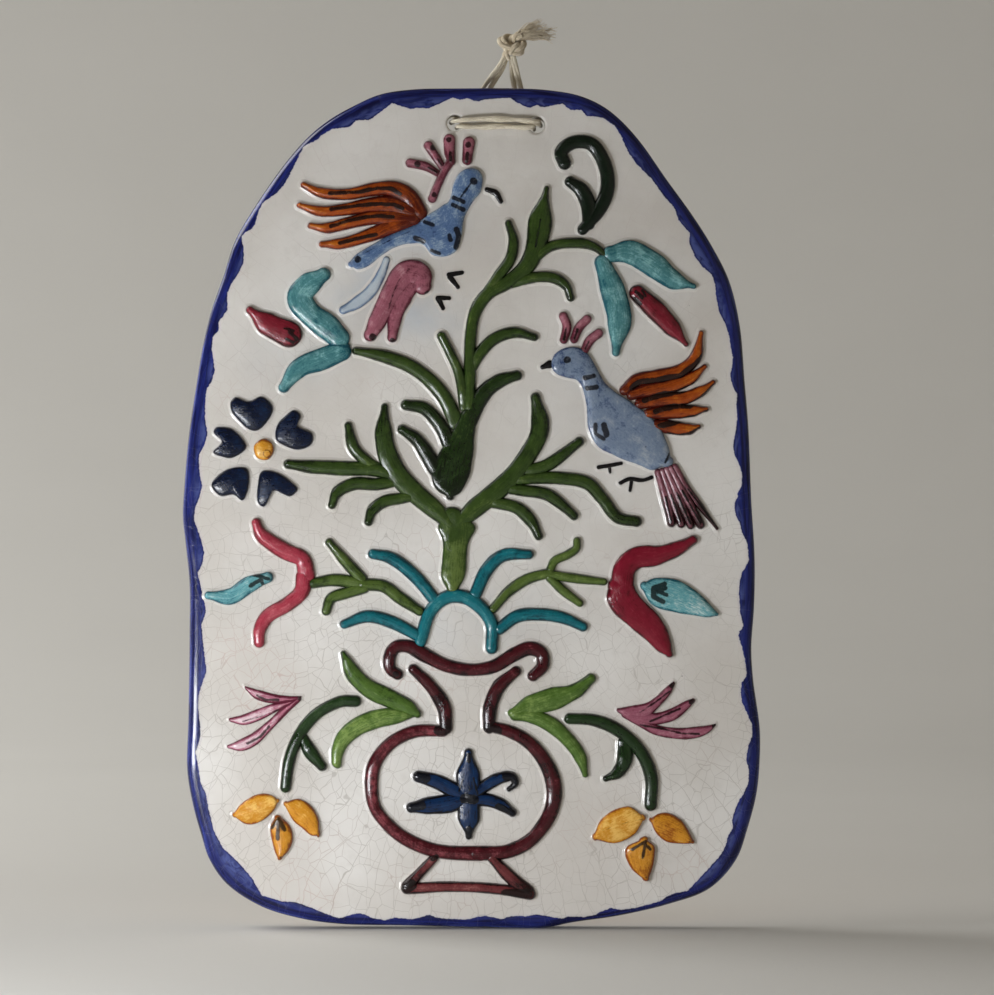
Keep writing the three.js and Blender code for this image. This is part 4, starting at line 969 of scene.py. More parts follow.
left_bird_marks = [
    ([(0.6, 116.4)], 1.4), ([(-0.4, 115.6), (-2.4, 113), (-4, 110.8)], 0.35),
    ([(-6.6, 110.6), (-3.1, 109.1)], 0.8), ([(-6.8, 108), (-3.1, 106.3)], 0.8),
    ([(-5.5, 99.2), (-4.6, 96.6), (-5.7, 92.9)], 1.0), ([(-8.1, 97.2), (-7.6, 95.5)], 0.75),
    ([(-40.7, 88.6)], 1.3), ([(-16.9, 102), (-13.9, 100.9)], 0.7), ([(-20.4, 96.3), (-17.3, 95)], 0.8),
    ([(-14.5, 91.8), (-11.7, 90.7)], 0.7), ([(-38, 91), (-30, 95), (-22, 98.6)], 0.05),
    ([(-19.5, 122.7)], 1.1), ([(-13.9, 128.5)], 1.0), ([(-8.3, 131.3)], 1.0), ([(-1.4, 129.4)], 1.1),
    ([(-13.5, 111.7)], 0.9), ([(-15.5, 121.4), (-12.6, 119.8)], 0.35),
    ([(-12.2, 124.4), (-10.8, 122)], 0.35), ([(-7.8, 126.6), (-7.6, 124)], 0.5),
    ([(-1.7, 126.4), (-1.9, 123.6)], 0.7), ([(-35.4, 60.9)], 1.3), ([(-28.4, 59.8)], 0.9),
    ([(-16.6, 76.6), (-15.6, 77)], 0.5), ([(-22.3, 85.4), (-26, 81.2), (-28.2, 76.2), (-30.3, 68.9)],
                                          0.05),
    *[(stripe, 0.7) for stripe in left_stripes],
]
relief("relief_left_bird", left_bird, [BIRD_BLUE, FEATHER_ORANGE, DUSTY_MAUVE, PALE_BLUE, BLACK_BRUSH],
       left_bird_marks)

# ---- Right bird
# A second bird in the same hand work, looking left: a pale blue body with dark brush marks, a wing of five
# orange feathers striped in black, four mauve tail feathers, three crest capsules and thin dark feet.
RIGHT_BIRD_BLUE = brushed_glaze("right_bird_blue", (48, 66, 104), (116, 132, 154), (152, 162, 174),
                                (13, 12, 20),
                                0.25, 0.75, 0.25, (150, 165, 190))
TAIL_MAUVE = brushed_glaze("tail_mauve", (44, 16, 20), (120, 68, 80), (166, 112, 124), (18, 7, 9), 0.7,
                           0.45, 0.6)
RIGHT_WIDTHS = [4, 5.2, 5.2, 4.4, 1.8]
right_feathers = [
    [(54.5, 42), (58.5, 45.4), (66, 46.8), (74, 48.8), (79.4, 53.4), (81.8, 62.4)],
    [(57, 40.4), (63, 42), (71, 43.4), (78, 46.2), (83, 50.4)],
    [(60, 37.2), (68, 38.6), (76, 39.2), (82, 41.8), (86, 44.8)],
    [(63, 33.6), (70, 34.2), (77, 34.4), (83.6, 35.2)],
    [(66, 29.6), (72, 28.6), (77.6, 28.2), (80.8, 29)],
]
right_stripes = [
    [(56.9, 42.8), (59.9, 45), (67, 45.8), (74.1, 47.2), (79.6, 51), (82.3, 54)],
    [(61.6, 38.2), (66.5, 40.1), (73, 41.2), (78.5, 43.4), (82.8, 46.9)],
    [(65.4, 34.4), (71.9, 36.3), (77.4, 36.3), (81.8, 39), (86.7, 43.4)],
    [(67, 29.2), (73, 30.7), (79.6, 32.3), (84.4, 34.2)],
    [(69.8, 25.9), (74.1, 25.4), (78.5, 26.5), (81.2, 28.1)],
]
right_body = [
    (39.2, 56.6, 31, 47.3), (41.6, 54.6, 34.3, 46.4), (43.2, 52, 37.2, 45.6), (44.6, 49.6, 38.9, 43.6),
    (46.2, 46.6, 39.9, 40.6), (47.9, 43.9, 40.6, 37.5), (51, 41.6, 41.1, 33.5), (54.6, 39.4, 41.7, 29.2),
    (58.8, 36.8, 43.2, 24.6), (62, 34.2, 46.4, 21), (64.8, 31.2, 51, 18.6), (67, 28.2, 55.6, 16.8),
    (68.8, 25, 60, 15), (70.2, 21.6, 64.2, 13.4), (70.8, 18.2, 67.8, 14.6),
]
tail_tips = [(71.2, -5.4), (74.6, -5.8), (78, -6.2), (81.6, -6), (87.4, -7.4)]
tail = []
for k, tip in enumerate(tail_tips):
    tail.append([(66.4 + 1.5 * k, 12.6 + 0.5 * k), (69 + 2 * k, 4 + 0.7 * k), tip])
right_crest = [
    ([(32.6, 68.4), (33.8, 65), (32.7, 60)], [3.2, 3.4, 3]),
    ([(41, 67.4), (38.1, 64.4), (36.4, 60.2)], [3.2, 3.4, 3]),
    ([(45.2, 62.4), (42, 59.7), (40.2, 56.4)], [3.2, 3.4, 3]),
]
right_bird = [
    *[coil(spine, RIGHT_WIDTHS, shade=(0.15, 0.75), paint=1, fine=True) for spine in right_feathers],
    *[coil(spine, [2.6, 3.5, 3], shade=(0.85, 0.25), paint=3, fine=True) for spine in tail[:-1]],
    coil(tail[-1], [2.6, 2.6, 1.2], 1.8, (0.7, 0.0), paint=3, fine=True),
    ribbed_pad(right_body, shade=(0.35, 0.65)),
    coil([(25.2, 50.3), (27.8, 51.3)], [1.7, 2.8], 1.3, (0.3, 0.3), paint=4),
    *[coil(spine, widths, 2, (0.75, 0.15), paint=2, fine=True) for spine, widths in right_crest],
    coil([(45.2, 14.5), (49.6, 15.2), (53.2, 15.9)], [1.4, 1.5, 1.3], 0.8, (0.3, 0.3), paint=4),
    coil([(53, 8.9), (56.1, 10.3), (61, 9.9), (64.1, 10.9)], [1.4, 1.5, 1.3], 0.8, (0.3, 0.3), paint=4),
    coil([(49, 15), (49.2, 12.7)], [1.3, 1.1], 0.6, (0.3, 0.3), paint=4),
    coil([(56.9, 9.6), (56.4, 6.2)], [1.3, 1.1], 0.6, (0.3, 0.3), paint=4),
]
right_bird_marks = [
    ([(34, 52.8)], 1.3), ([(40.3, 46.4), (43.4, 47)], 0.9), ([(41.1, 42.6), (44.2, 43)], 0.9),
    ([(43.9, 29.8), (44.1, 26.5), (46.9, 24.6)], 0.7), ([(47.1, 29.5), (47.9, 26.2)], 1.1),
    ([(61.8, 21.7)], 0.3), ([(68.9, 16.1), (70.3, 19.4)], 0.3), ([(33.5, 64), (32.8, 60)], 0.4),
    ([(37.6, 63.6), (36.6, 60.4)], 0.4), ([(41.6, 59.4), (40.4, 56.8)], 0.4),
    *[(stripe, 1.0) for stripe in right_stripes],
    *[([middle, (tip[0] - 0.2, tip[1] + 0.8)], 0.4) for _, middle, tip in tail],
]
relief("relief_right_bird", right_bird,
       [RIGHT_BIRD_BLUE, FEATHER_ORANGE, DUSTY_MAUVE, TAIL_MAUVE, BLACK_BRUSH], right_bird_marks)

# ---- Four tulips
# Each tulip is two open petals and the bud between them, thick pads of clay. The upper pair is aqua with
# red buds, the middle pair is crimson with turquoise buds. Dark marks sit at the foot of each bud.
AQUA = brushed_glaze("aqua", (16, 80, 94), (74, 128, 132), (130, 180, 182), (10, 72, 88), 0.55, 0.75, 0.7,
                     (150, 205, 208))
BUD_RED = brushed_glaze("bud_red", (56, 8, 14), (122, 26, 42), (160, 60, 72), (16, 7, 9), 0.5, 0.45, 0.7)
CRIMSON = brushed_glaze("crimson", (104, 14, 30), (160, 54, 70), (192, 100, 108), (30, 8, 14), 0.45, 0.6,
                        0.6)
DEEP_CRIMSON = brushed_glaze("deep_crimson", (64, 4, 16), (122, 20, 40), (158, 56, 70), (24, 6, 10), 0.4,
                             0.4, 0.5)
TURQUOISE = brushed_glaze("turquoise", (14, 88, 104), (102, 162, 168), (190, 212, 210), (9, 20, 22), 0.7,
                          0.55, 0.7, (150, 200, 205))
tulips = [
    coil([(-53, 83.4), (-59.3, 78.9), (-61.4, 74.8), (-58, 69.6), (-52.4, 65.2), (-47.6, 60.6)],
         [5, 8.6, 9.4, 8.6, 9.4, 8], PAD_HEIGHT, (0.6, 0.45)),
    coil([(-46.7, 56), (-54.2, 52.9), (-61.6, 50), (-67.2, 43)], [7.4, 8, 7, 4], PAD_HEIGHT, (0.55, 0.6)),
    coil([(-79.3, 70.6), (-73, 65.6), (-65.4, 62)], [3, 8.2, 9.6], PAD_HEIGHT, (0.6, 0.4), paint=1,
         fine=True),
    coil([(49.4, 90.6), (56, 91.2), (63.4, 87.6), (71.6, 81.6), (79.1, 79.1)], [6, 9, 8.8, 7, 2],
         PAD_HEIGHT, (0.6, 0.6)),
    coil([(46.7, 87.5), (49.9, 78.6), (52.4, 68.9), (51.3, 55.5)], [6, 8.8, 8.6, 3], PAD_HEIGHT,
         (0.6, 0.6)),
    coil([(59, 76.6), (63.8, 72.2), (70.2, 65.7), (76.4, 58.4)], [6, 7.2, 6.6, 2], PAD_HEIGHT, (0.4, 0.5),
         paint=1, fine=True),
    coil([(-77, -5.4), (-75.4, -9.4), (-72, -12.3), (-65.9, -15.9), (-60.6, -18.4), (-59, -24)],
         [3.6, 5.4, 6, 6, 6.4], PAD_HEIGHT, (0.5, 0.5), paint=2),
    coil([(-60, -24.6), (-60.8, -29.6), (-65.9, -34.4), (-73, -38.7), (-75.9, -43.8), (-76, -48)],
         [6, 5.4, 5.3, 5, 4], PAD_HEIGHT, (0.5, 0.7), paint=2),
    coil([(-94.1, -31.2), (-86, -31.6), (-79.6, -27.4), (-73, -24.8)], [3, 6, 6, 4], PAD_HEIGHT,
         (0.55, 0.5), paint=4, fine=True),
    coil([(78.8, -11.4), (73.4, -14.4), (65.9, -17), (58.6, -18), (54.6, -21.6), (53.6, -30)],
         [3.4, 6, 7.8, 8, 8.4], PAD_HEIGHT, (0.55, 0.45), paint=3),
    ribbed_pad([(48.6, -29, 58.4, -29), (48.2, -32.6, 60, -31.6), (50.6, -37.2, 62.6, -34),
                (55.4, -42, 66.6, -38.4), (61.4, -46.8, 69, -42.4), (66.4, -51.2, 71, -47.6),
                (69, -52.6, 71.6, -51.8)], PAD_HEIGHT, (0.45, 0.5), 3),
    ribbed_pad([(61, -29.4, 62, -26.4), (63.4, -33.6, 65.4, -25), (67.8, -36.2, 71.4, -25),
                (73, -37.6, 77, -27.6), (78.6, -38.4, 82, -31.6), (84.4, -39, 86.4, -36),
                (87, -38.6, 87.6, -37.4)], PAD_HEIGHT, (0.5, 0.7), 4),
]
tulip_marks = [
    ([(-50.6, 58.2), (-43.8, 57.5)], 0.4), ([(48.2, 88.4), (51, 86)], 0.3),
    ([(-65, 62.6), (-62.4, 60.2)], 0.7), ([(-66.2, 60.2), (-63.6, 59)], 0.6),
    ([(-67, 64), (-63.6, 63.2)], 0.45), ([(58.4, 77), (60.6, 75)], 0.7),
    ([(57.8, 74.6), (60, 72.8)], 0.7), ([(60.6, 77.6), (61.8, 75.4)], 0.4),
    ([(-77.9, -23.7), (-72.4, -25.4)], 0.7), ([(-78.9, -27.8), (-75.1, -25.4), (-74.1, -29.5)], 0.7),
    ([(68.6, -27.2), (64.8, -28.6), (64.6, -31.6)], 0.9), ([(64.6, -31.6), (68, -33.4)], 0.9),
    ([(69, -28.6), (66.4, -29.8), (69.4, -31)], 0.7),
]
relief("relief_tulips", tulips, [AQUA, BUD_RED, CRIMSON, DEEP_CRIMSON, TURQUOISE], tulip_marks)

# ---- Heart flower
# Five small hearts cut from a sheet of clay, navy, with their notches outwards, round an amber ball.
# All six are pressed on the slab.
NAVY = brushed_glaze("navy", (5, 8, 20), (9, 20, 44), (18, 50, 88), (6, 8, 18), 0.4, 0.5, 0.3,
                     (120, 130, 160))
AMBER = brushed_glaze("amber", (142, 70, 12), (206, 142, 42), (232, 186, 98), (104, 46, 12), 0.35, 0.55,
                      0.7, (226, 196, 140))


def pressed_pad(corners, height, shade, paint=0):
    """Pad of clay from a cut outline, smoothed through its corners: rings drawn in to the middle, rising in
    a flat-topped dome, with the glaze's concave foot outside the outline."""
    curve, reached = curve_through(corners, closed=True)
    outline = places_at(curve, reached, np.linspace(0, reached[-1], 72, endpoint=False))
    centre = outline.mean(axis=0)
    along = unit(np.roll(outline, -1, axis=0) - np.roll(outline, 1, axis=0))
    outward = np.stack([along[:, 1], -along[:, 0]], axis=1)
    if np.einsum("ij,ij->", outward, outline - centre) < 0:
        outward = -outward
    drawn = np.sin(np.radians(np.linspace(8, 90, 12)))
    rings = centre + drawn[:, None, None] * (outline - centre)
    skirts = outline + SKIRT_REACH[:, None, None] * outward
    flat = np.concatenate([rings, skirts])
    lift = np.concatenate([FOOT + (height - FOOT) * np.sqrt(1 - drawn**2) ** 0.6, SKIRT_LIFT])
    reach = np.linalg.norm(outline - centre, axis=1)
    edge = np.concatenate([(drawn - 1)[:, None] * reach,
                           np.broadcast_to(SKIRT_REACH[:, None], (4, len(reach)))])
    x, z = flat[..., 0], flat[..., 1]
    y = -(slab_front(x, z) + lift[:, None])
    front = slab_front(*centre)
    places = np.vstack([np.stack([x, y, z], -1).reshape(-1, 3), [centre[0], -front - height, centre[1]],
                        [centre[0], -front - SKIRT_LIFT[-1], centre[1]]])
    values = {"edge": np.append(edge.ravel(), [-3, 1]), "flow": places[:, [0, 2, 1]],
              "tone": np.full(len(places), shade), "paint": np.full(len(places), paint)}
    return places, facing_out(places, grid_triangles(closed_grid(*x.shape))), values


HEARTS = [
    [(-84.6, 39.4), (-79.9, 38), (-75.1, 39.7), (-71.2, 36), (-72.4, 31.9), (-76.5, 27.7), (-79.6, 28),
     (-83.3, 31.2), (-85.9, 34.6), (-86.2, 37.6)],
    [(-63.6, 34.9), (-61.2, 33), (-62.2, 29.4), (-57, 26.4), (-57.4, 22.8), (-62.2, 20.8), (-67, 22.3),
     (-70, 24.4), (-69.7, 29.2), (-67, 32.6)],
    [(-91.6, 28.6), (-88.4, 28.8), (-85.2, 27.8), (-80.6, 21.7), (-85.4, 18), (-89, 18.2), (-92.4, 19.8),
     (-89.4, 23.7), (-92.2, 26.8)],
    [(-93, 8.2), (-90.1, 12.1), (-85.4, 14.3), (-80.3, 13.9), (-79.8, 7.3), (-82, 2.6), (-85.2, 4.7),
     (-89.9, 4.3)],
    [(-75.1, 13), (-70.4, 12.9), (-64.9, 9.6), (-62.3, 6.7), (-64.9, 4.1), (-67.6, 5), (-70.7, 6),
     (-74.4, 0.4), (-76.4, 1.8), (-76.4, 8.7)],
]
heart_flower = [pressed_pad(corners, COIL_HEIGHT, 0.5) for corners in HEARTS]
ball = [(-77.6, 22.6), (-74.6, 24.6), (-71.4, 23), (-70.9, 20), (-73, 17.2), (-76.4, 17.6), (-77.8, 20)]
heart_flower.append(pressed_pad(ball, PAD_HEIGHT, 0.6, 1))
ring = [(-73.1 + 1.3 * np.cos(turn), 19.3 + 1.3 * np.sin(turn)) for turn in np.linspace(0, 5.6, 12)]
relief("relief_heart_flower", heart_flower, [NAVY, AMBER], [(ring, 0.25)])

# ---- Tree
# Olive-green coils that branch from one short trunk and climb to the top in a winding stem with curved
# leaves; a darker bud of three leaves stands in its fork.
TREE_GREEN = brushed_glaze("tree_green", (20, 34, 10), (50, 70, 26), (92, 110, 52), (10, 18, 8), 0.45,
                           0.45, 0.5, (150, 160, 120))
FORK_GREEN = brushed_glaze("fork_green", (8, 16, 6), (28, 46, 16), (70, 92, 40), (8, 14, 6), 0.5, 0.45,
                           0.4, (130, 140, 110))
DARK_TIPS = (0.62, 0.2)
twigs = [
    ([(-26, 11), (-34, 13.6), (-48, 14.1), (-57, 14.6), (-65.6, 15.6)], [4, 5, 5.4, 5, 3.4]),
    ([(-33, 13.6), (-37.4, 16.4), (-42.2, 21.6), (-44.2, 29.4)], [4.4, 4.4, 4.4, 2.8]),
    ([(-26, 9.6), (-34.2, 8.4), (-42.4, 8.6), (-48.2, 5.5), (-50, 1)], [3.6, 4.4, 4.6, 4.4, 3]),
    ([(-18, 5), (-25.7, 3.4), (-31.4, 2.3), (-35.6, -0.9), (-37, -5)], [3.6, 4.2, 4.4, 4.2, 3]),
    ([(17, 12.6), (27, 15.4), (38.2, 23.6)], [4, 4.8, 3.6]),
    ([(13, 9.6), (22, 10.6), (32.8, 10.5), (41.4, 8.6), (46.4, 3.4), (52, -3.4), (58.6, -4.8)],
     [3.8, 4.6, 4.8, 4.6, 3.9]),
    ([(10.6, 7), (17.8, 6.2), (26.7, 4.8), (32.8, 0.5), (36.4, -2.8)], [3.6, 4.4, 4.4, 3.2]),
    ([(4, 2), (9.8, 1.6), (16.7, -0.4), (21.4, -5.2), (23.8, -10)], [3.6, 4.4, 4.6, 3.2]),
    ([(4.4, 76), (9.3, 82.6), (13.6, 88.6), (14.8, 95.3), (13, 101.6)], [3.4, 4, 4, 2.6]),
    ([(20.6, 87.4), (28.1, 93.4), (36.7, 94.6), (42.8, 93.6), (47.4, 90.6)], [3.6, 3.8, 3.8, 2.8]),
    ([(14, 80), (23.2, 82.4), (29.4, 82), (33.6, 79.2), (35.2, 75)], [3.4, 3.9, 3.9, 2.8]),
    ([(-0.9, 48.6), (3, 55.4), (8.4, 60.6), (15.3, 62.6), (22.2, 61)], [4, 4.3, 4.3, 3]),
]
tree = [
    ribbed_pad([(-9.2, -28.8, -5, -29), (-10.9, -25, -2.8, -25), (-10.6, -18, -1.8, -18),
                (-10.4, -12, -0.9, -12), (-12, -7, 1.4, -7), (-10.2, -3.4, -2.4, -3.4)], COIL_HEIGHT,
                (0.95, 0.5)),
    coil([(-7.6, -6), (-13.5, -0.4), (-20.8, 5.6), (-28, 14.2), (-31.4, 25), (-31.2, 36)],
         [5, 7, 7.6, 7.6, 6.6, 2.6], shade=DARK_TIPS),
    *[coil(spine, widths, shade=DARK_TIPS, under=True) for spine, widths in twigs],
    coil([(-5.4, -6), (0.4, -0.8), (6.4, 4), (12.8, 9.6), (19.6, 18.3), (24.2, 28), (22.6, 39.4)],
         [5, 6.8, 7, 6.8, 6.6, 6.6, 3.6], shade=DARK_TIPS),
    ribbed_pad([(-9.4, 4.2, -6.4, 4), (-12, 5.8, -4, 5.4), (-14, 8.6, -1.9, 8.6),
                (-14.6, 12.5, -0.6, 12.5), (-13.4, 16.4, 0, 16.4), (-11.4, 20, 0.4, 20),
                (-8.6, 24.6, 0.8, 24.6), (-6.4, 29, 1.2, 29), (-4.6, 32.6, 0.6, 33.4)], PAD_HEIGHT,
                (0.1, 0.55), 1),
    coil([(-2.4, 25), (-0.4, 33), (4.8, 41.6), (10, 45.4), (16, 47.2)], [5, 6.4, 6, 5.4, 3.8],
         shade=(0.35, 0.5), paint=1),
    coil([(-6.4, 17), (-8.6, 24), (-12, 30.4), (-17, 35.4), (-23.6, 36.8)], [6, 5.4, 5, 4.6, 3.7],
         shade=(0.2, 0.5), paint=1),
    coil([(-8, 9), (-12.4, 13.6), (-15.8, 18.8), (-19.8, 24.4), (-25, 27.9)], [5, 6, 5.4, 4.6, 3.5],
         shade=(0.05, 0.45), paint=1),
    coil([(-5.4, 30), (-10.8, 40.8), (-20.3, 49.6), (-31.4, 54), (-41.4, 56)], [5.6, 5.4, 5, 4.8, 3],
         shade=(0.5, 0.4), under=True),
    coil([(-2.6, 36), (-4.6, 48), (-7.6, 55), (-10.9, 61.4)], [4, 3.8, 3.6, 3.4], shade=(0.6, 0.5),
         under=True),
    coil([(-0.9, 36), (-0.8, 50), (-0.6, 60), (1.2, 70), (5.6, 76.4), (14, 81.4), (20, 87), (23.2, 95),
          (24.6, 104), (26.6, 114)], [4, 4.4, 4.4, 4.6, 5, 6.4, 8.8, 2], shade=(0.55, 0.35)),
]
relief("relief_tree", tree, [TREE_GREEN, FORK_GREEN], [([(22.6, 93), (24.4, 103)], 0.35)])

# ---- Scroll and green sprays
# A hooked scroll of near-black green at the top right, and on each side of the fountain a small olive spray
# of four thin coils.
SCROLL_GREEN = brushed_glaze("scroll_green", (5, 12, 7), (11, 26, 15), (34, 58, 38), (5, 10, 6), 0.35,
                             0.35, 0.4, (130, 145, 130))
SPRAY_OLIVE = brushed_glaze("spray_olive", (34, 50, 18), (78, 98, 42), (122, 140, 76), (14, 22, 10), 0.45,
                            0.45, 0.6, (160, 170, 130))
scroll_and_sprays = [
    coil([(33, 123), (31.8, 127), (36.2, 130.4), (42.4, 130), (46.4, 124.9), (48.4, 117.8), (47.6, 111),
          (44, 104.6), (39.6, 99.4)], [4.6, 5, 5.2, 5.2, 4], shade=(0.5, 0.4)),
    coil([(35, 116.4), (39, 113.4), (41.6, 107.6), (41.6, 101.4)], [4, 5.4, 5.6, 4.6], shade=(0.5, 0.4)),
    coil([(-51, -12.3), (-46.7, -17.3), (-39.5, -25.4)], [3, 4.2, 4.4], shade=(0.3, 0.5), paint=1),
    coil([(-56.6, -26.9), (-49, -25.8), (-39.5, -27)], [4, 4.6, 4.6], shade=(0.2, 0.5), paint=1),
    coil([(-52, -36.8), (-50.4, -32.4), (-45, -30.4), (-38.5, -28.4)], [3.4, 4.4, 4.4], shade=(0.3, 0.5),
         paint=1),
    coil([(-39, -27.4), (-31.7, -28), (-25.7, -32.2), (-18.7, -36.8)], [4.6, 4.6, 4.6, 3.6],
         shade=(0.4, 0.3), paint=1),
    coil([(7.6, -36), (13.2, -29.8), (20.3, -25.2), (28, -23.2)], [3.4, 4, 3.8], shade=(0.4, 0.6),
         paint=1),
    coil([(28, -22), (29.4, -19), (34, -16.8), (37.2, -14.4), (37.4, -11.8)], [3, 3.2, 3.2, 2.8],
         shade=(0.6, 0.6), paint=1),
    coil([(27, -23.6), (36, -25.1), (47, -26.4)], [3.4, 3.6, 2.8], shade=(0.6, 0.6), paint=1),
    coil([(27.6, -24.8), (32.6, -29.6), (38.4, -34)], [3.2, 3.4, 2.8], shade=(0.6, 0.6), paint=1),
]
relief("relief_scroll_and_sprays", scroll_and_sprays, [SCROLL_GREEN, SPRAY_OLIVE])

# ---- Fountain
# Five teal coils spring from the mouth of the vase: an arch, two curved strokes above it and two beside it.
TEAL = brushed_glaze("teal", (0, 56, 66), (18, 106, 116), (84, 160, 160), (0, 34, 40), 0.45, 0.45, 0.5,
                     (130, 180, 185))
TEAL_TONES = (0.35, 0.35)
jets = [
    ([(-35.4, -16.4), (-29.2, -17.8), (-20.7, -24.1), (-13.6, -32.4)], [3.6, 4.6, 4.8, 4.6]),
    ([(20.3, -16.6), (11.2, -17), (5.4, -22), (1.2, -30.6)], [3.6, 4.6, 4.8, 4.6]),
    ([(-20, -45.2), (-29, -40.6), (-37.6, -38.8), (-45.6, -41.6)], [4.4, 4.6, 4.4, 3.4]),
    ([(9.8, -43.2), (16, -38.8), (24.6, -38), (33, -39.4), (39.6, -42.4)], [4.2, 4.6, 4.6, 3.6]),
]
fountain = [
    *[coil(spine, widths, shade=TEAL_TONES) for spine, widths in jets],
    coil([(-18.4, -47.6), (-14.6, -36.6), (-9.3, -32), (-3.6, -31.6), (1.8, -34.4), (6.9, -41.2),
          (7, -50)], [4.6, 4.8, 5, 4.8, 4.6], PAD_HEIGHT, (0.55, 0.45)),
]
relief("relief_fountain", fountain, [TEAL])

# ---- Vase
# The vase is drawn in burgundy coils: a scrolled lip, a neck, a round belly and a splayed foot, with a blue
# flower of six leaves pressed inside the belly.
BURGUNDY = brushed_glaze("burgundy", (22, 4, 8), (66, 14, 22), (138, 64, 72), (16, 3, 6), 0.3, 0.6, 0.4,
                         (170, 130, 135))
FOOT_BROWN = brushed_glaze("foot_brown", (34, 9, 12), (104, 46, 48), (158, 98, 94), (18, 6, 6), 0.4, 0.55,
                           0.8, (180, 150, 145))
FLOWER_BLUE = brushed_glaze("flower_blue", (3, 7, 18), (6, 38, 76), (20, 72, 122), (4, 5, 11), 0.55, 0.45,
                            0.9, (120, 140, 170))
vase = [
    coil([(-26.6, -59.4), (-29, -57.6), (-29.4, -53.2), (-27.4, -49.8), (-22.8, -49.4), (-16.4, -52.8),
          (-9, -56.4), (-0.4, -57.8), (7.6, -56.6), (15.4, -52.2), (20.8, -50.2), (24.8, -52),
          (25.2, -56.4), (21.8, -60)], [4, 4.4, 4.6, 5.2, 5, 4.8, 4.6, 4.8, 5, 5, 4.6, 4],
          shade=(0.4, 0.5)),
    coil([(-21, -57.6), (-14.8, -63.6), (-9.9, -71.4), (-9.3, -78.6)], [3.6, 4.6, 5.4, 4.6],
         shade=(0.45, 0.2)),
    coil([(15.6, -58.4), (9.4, -64), (6.6, -70.7), (6, -78.4)], [3.8, 4.8, 5, 4.4], shade=(0.5, 0.15)),
    coil([(-10.4, -79.6), (-20.9, -80), (-29.2, -84.2), (-34.6, -91), (-35.9, -99.6), (-34.6, -107),
          (-29, -114.2), (-20.9, -119.6), (-10.4, -122.8), (3.2, -123.4)],
          [4.2, 4.6, 4.6, 4.8, 4.6, 4.8, 5, 5, 5.2], shade=(0.7, 0.62)),
    coil([(1, -123.4), (13.4, -122.4), (21, -118.4), (27.2, -110.4), (29.4, -101), (26.4, -91),
          (19.8, -83.4), (12.6, -79.6), (6.2, -78)], [5.2, 5, 5, 5.4, 5.6, 5, 4.6, 4], shade=(0.5, 0.35)),
    coil([(-13.6, -125), (-18.4, -130), (-23, -135)], [3.2, 3.6, 4.4], shade=(0.6, 0.1), paint=1),
    coil([(7, -124.8), (12.8, -131), (19.6, -137.2)], [3.6, 4.8, 5.4], shade=(0.6, 0.1), paint=1),
    coil([(-23.2, -135.8), (-5.7, -135.3), (8.9, -136), (20.6, -137.8)], [4, 3.7, 3.9, 4.2],
         shade=(0.6, 0.5), paint=1),
]
belly_flower = [
    ([(-1, -103.6), (-1.3, -95), (-1.3, -87.4)], [8, 8.8, 3.2]),
    ([(-1, -104), (-1.1, -111), (-1.1, -117.2)], [8, 7.8, 2.4]),
    ([(-2, -103), (-7.6, -100.2), (-13, -97.6), (-19, -96)], [5, 5.8, 5.4, 4.4]),
    ([(-2, -104), (-8.6, -105.4), (-15, -106.2), (-21.6, -107)], [5.4, 7, 6.2, 3.8]),
    ([(0, -103), (4.2, -99.6), (9.6, -96.6), (14.4, -96), (15.4, -98.4), (13.2, -100.4)],
     [4, 4.6, 4.8, 4.2, 3, 1.8]), ([(0, -104.4), (5, -104.2), (10, -105.8), (14.4, -108.8)],
                                   [5, 4.8, 4.4, 3]),
]
vase += [coil(spine, widths, shade=(0.3, 0.5), paint=2, fine=True) for spine, widths in belly_flower]
vase_marks = [
    ([(-12, -79.4), (-9, -79.2)], 1.9), ([(5.6, -78.6), (9, -79.2)], 1.7), ([(-27.2, -59.2)], 1.0),
    ([(-21.4, -134.4), (-24, -136)], 1.8), ([(12, -137.6), (20, -137.6)], 1.7),
    ([(-14, -125.2), (-12.8, -124.4)], 1.0), ([(-2.6, -103.6), (0.6, -104)], 1.7),
    ([(-1.3, -90), (-1.3, -88)], 0.9), ([(-1.1, -114.6), (-1.1, -117)], 1.2),
    ([(-16.4, -96.4), (-19, -96)], 1.7), ([(-18, -106.2), (-21.6, -107)], 1.5),
    ([(12.4, -95.6), (15.4, -97.4)], 1.7), ([(15.4, -97.4), (13.2, -100.2)], 1.5),
    ([(9.4, -107.2), (14.2, -109.2)], 1.7), ([(0.6, -96), (2, -102)], 0.3),
    ([(-3.4, -97), (-4.6, -101)], 0.3),
]
relief("relief_vase", vase, [BURGUNDY, FOOT_BROWN, FLOWER_BLUE], vase_marks)

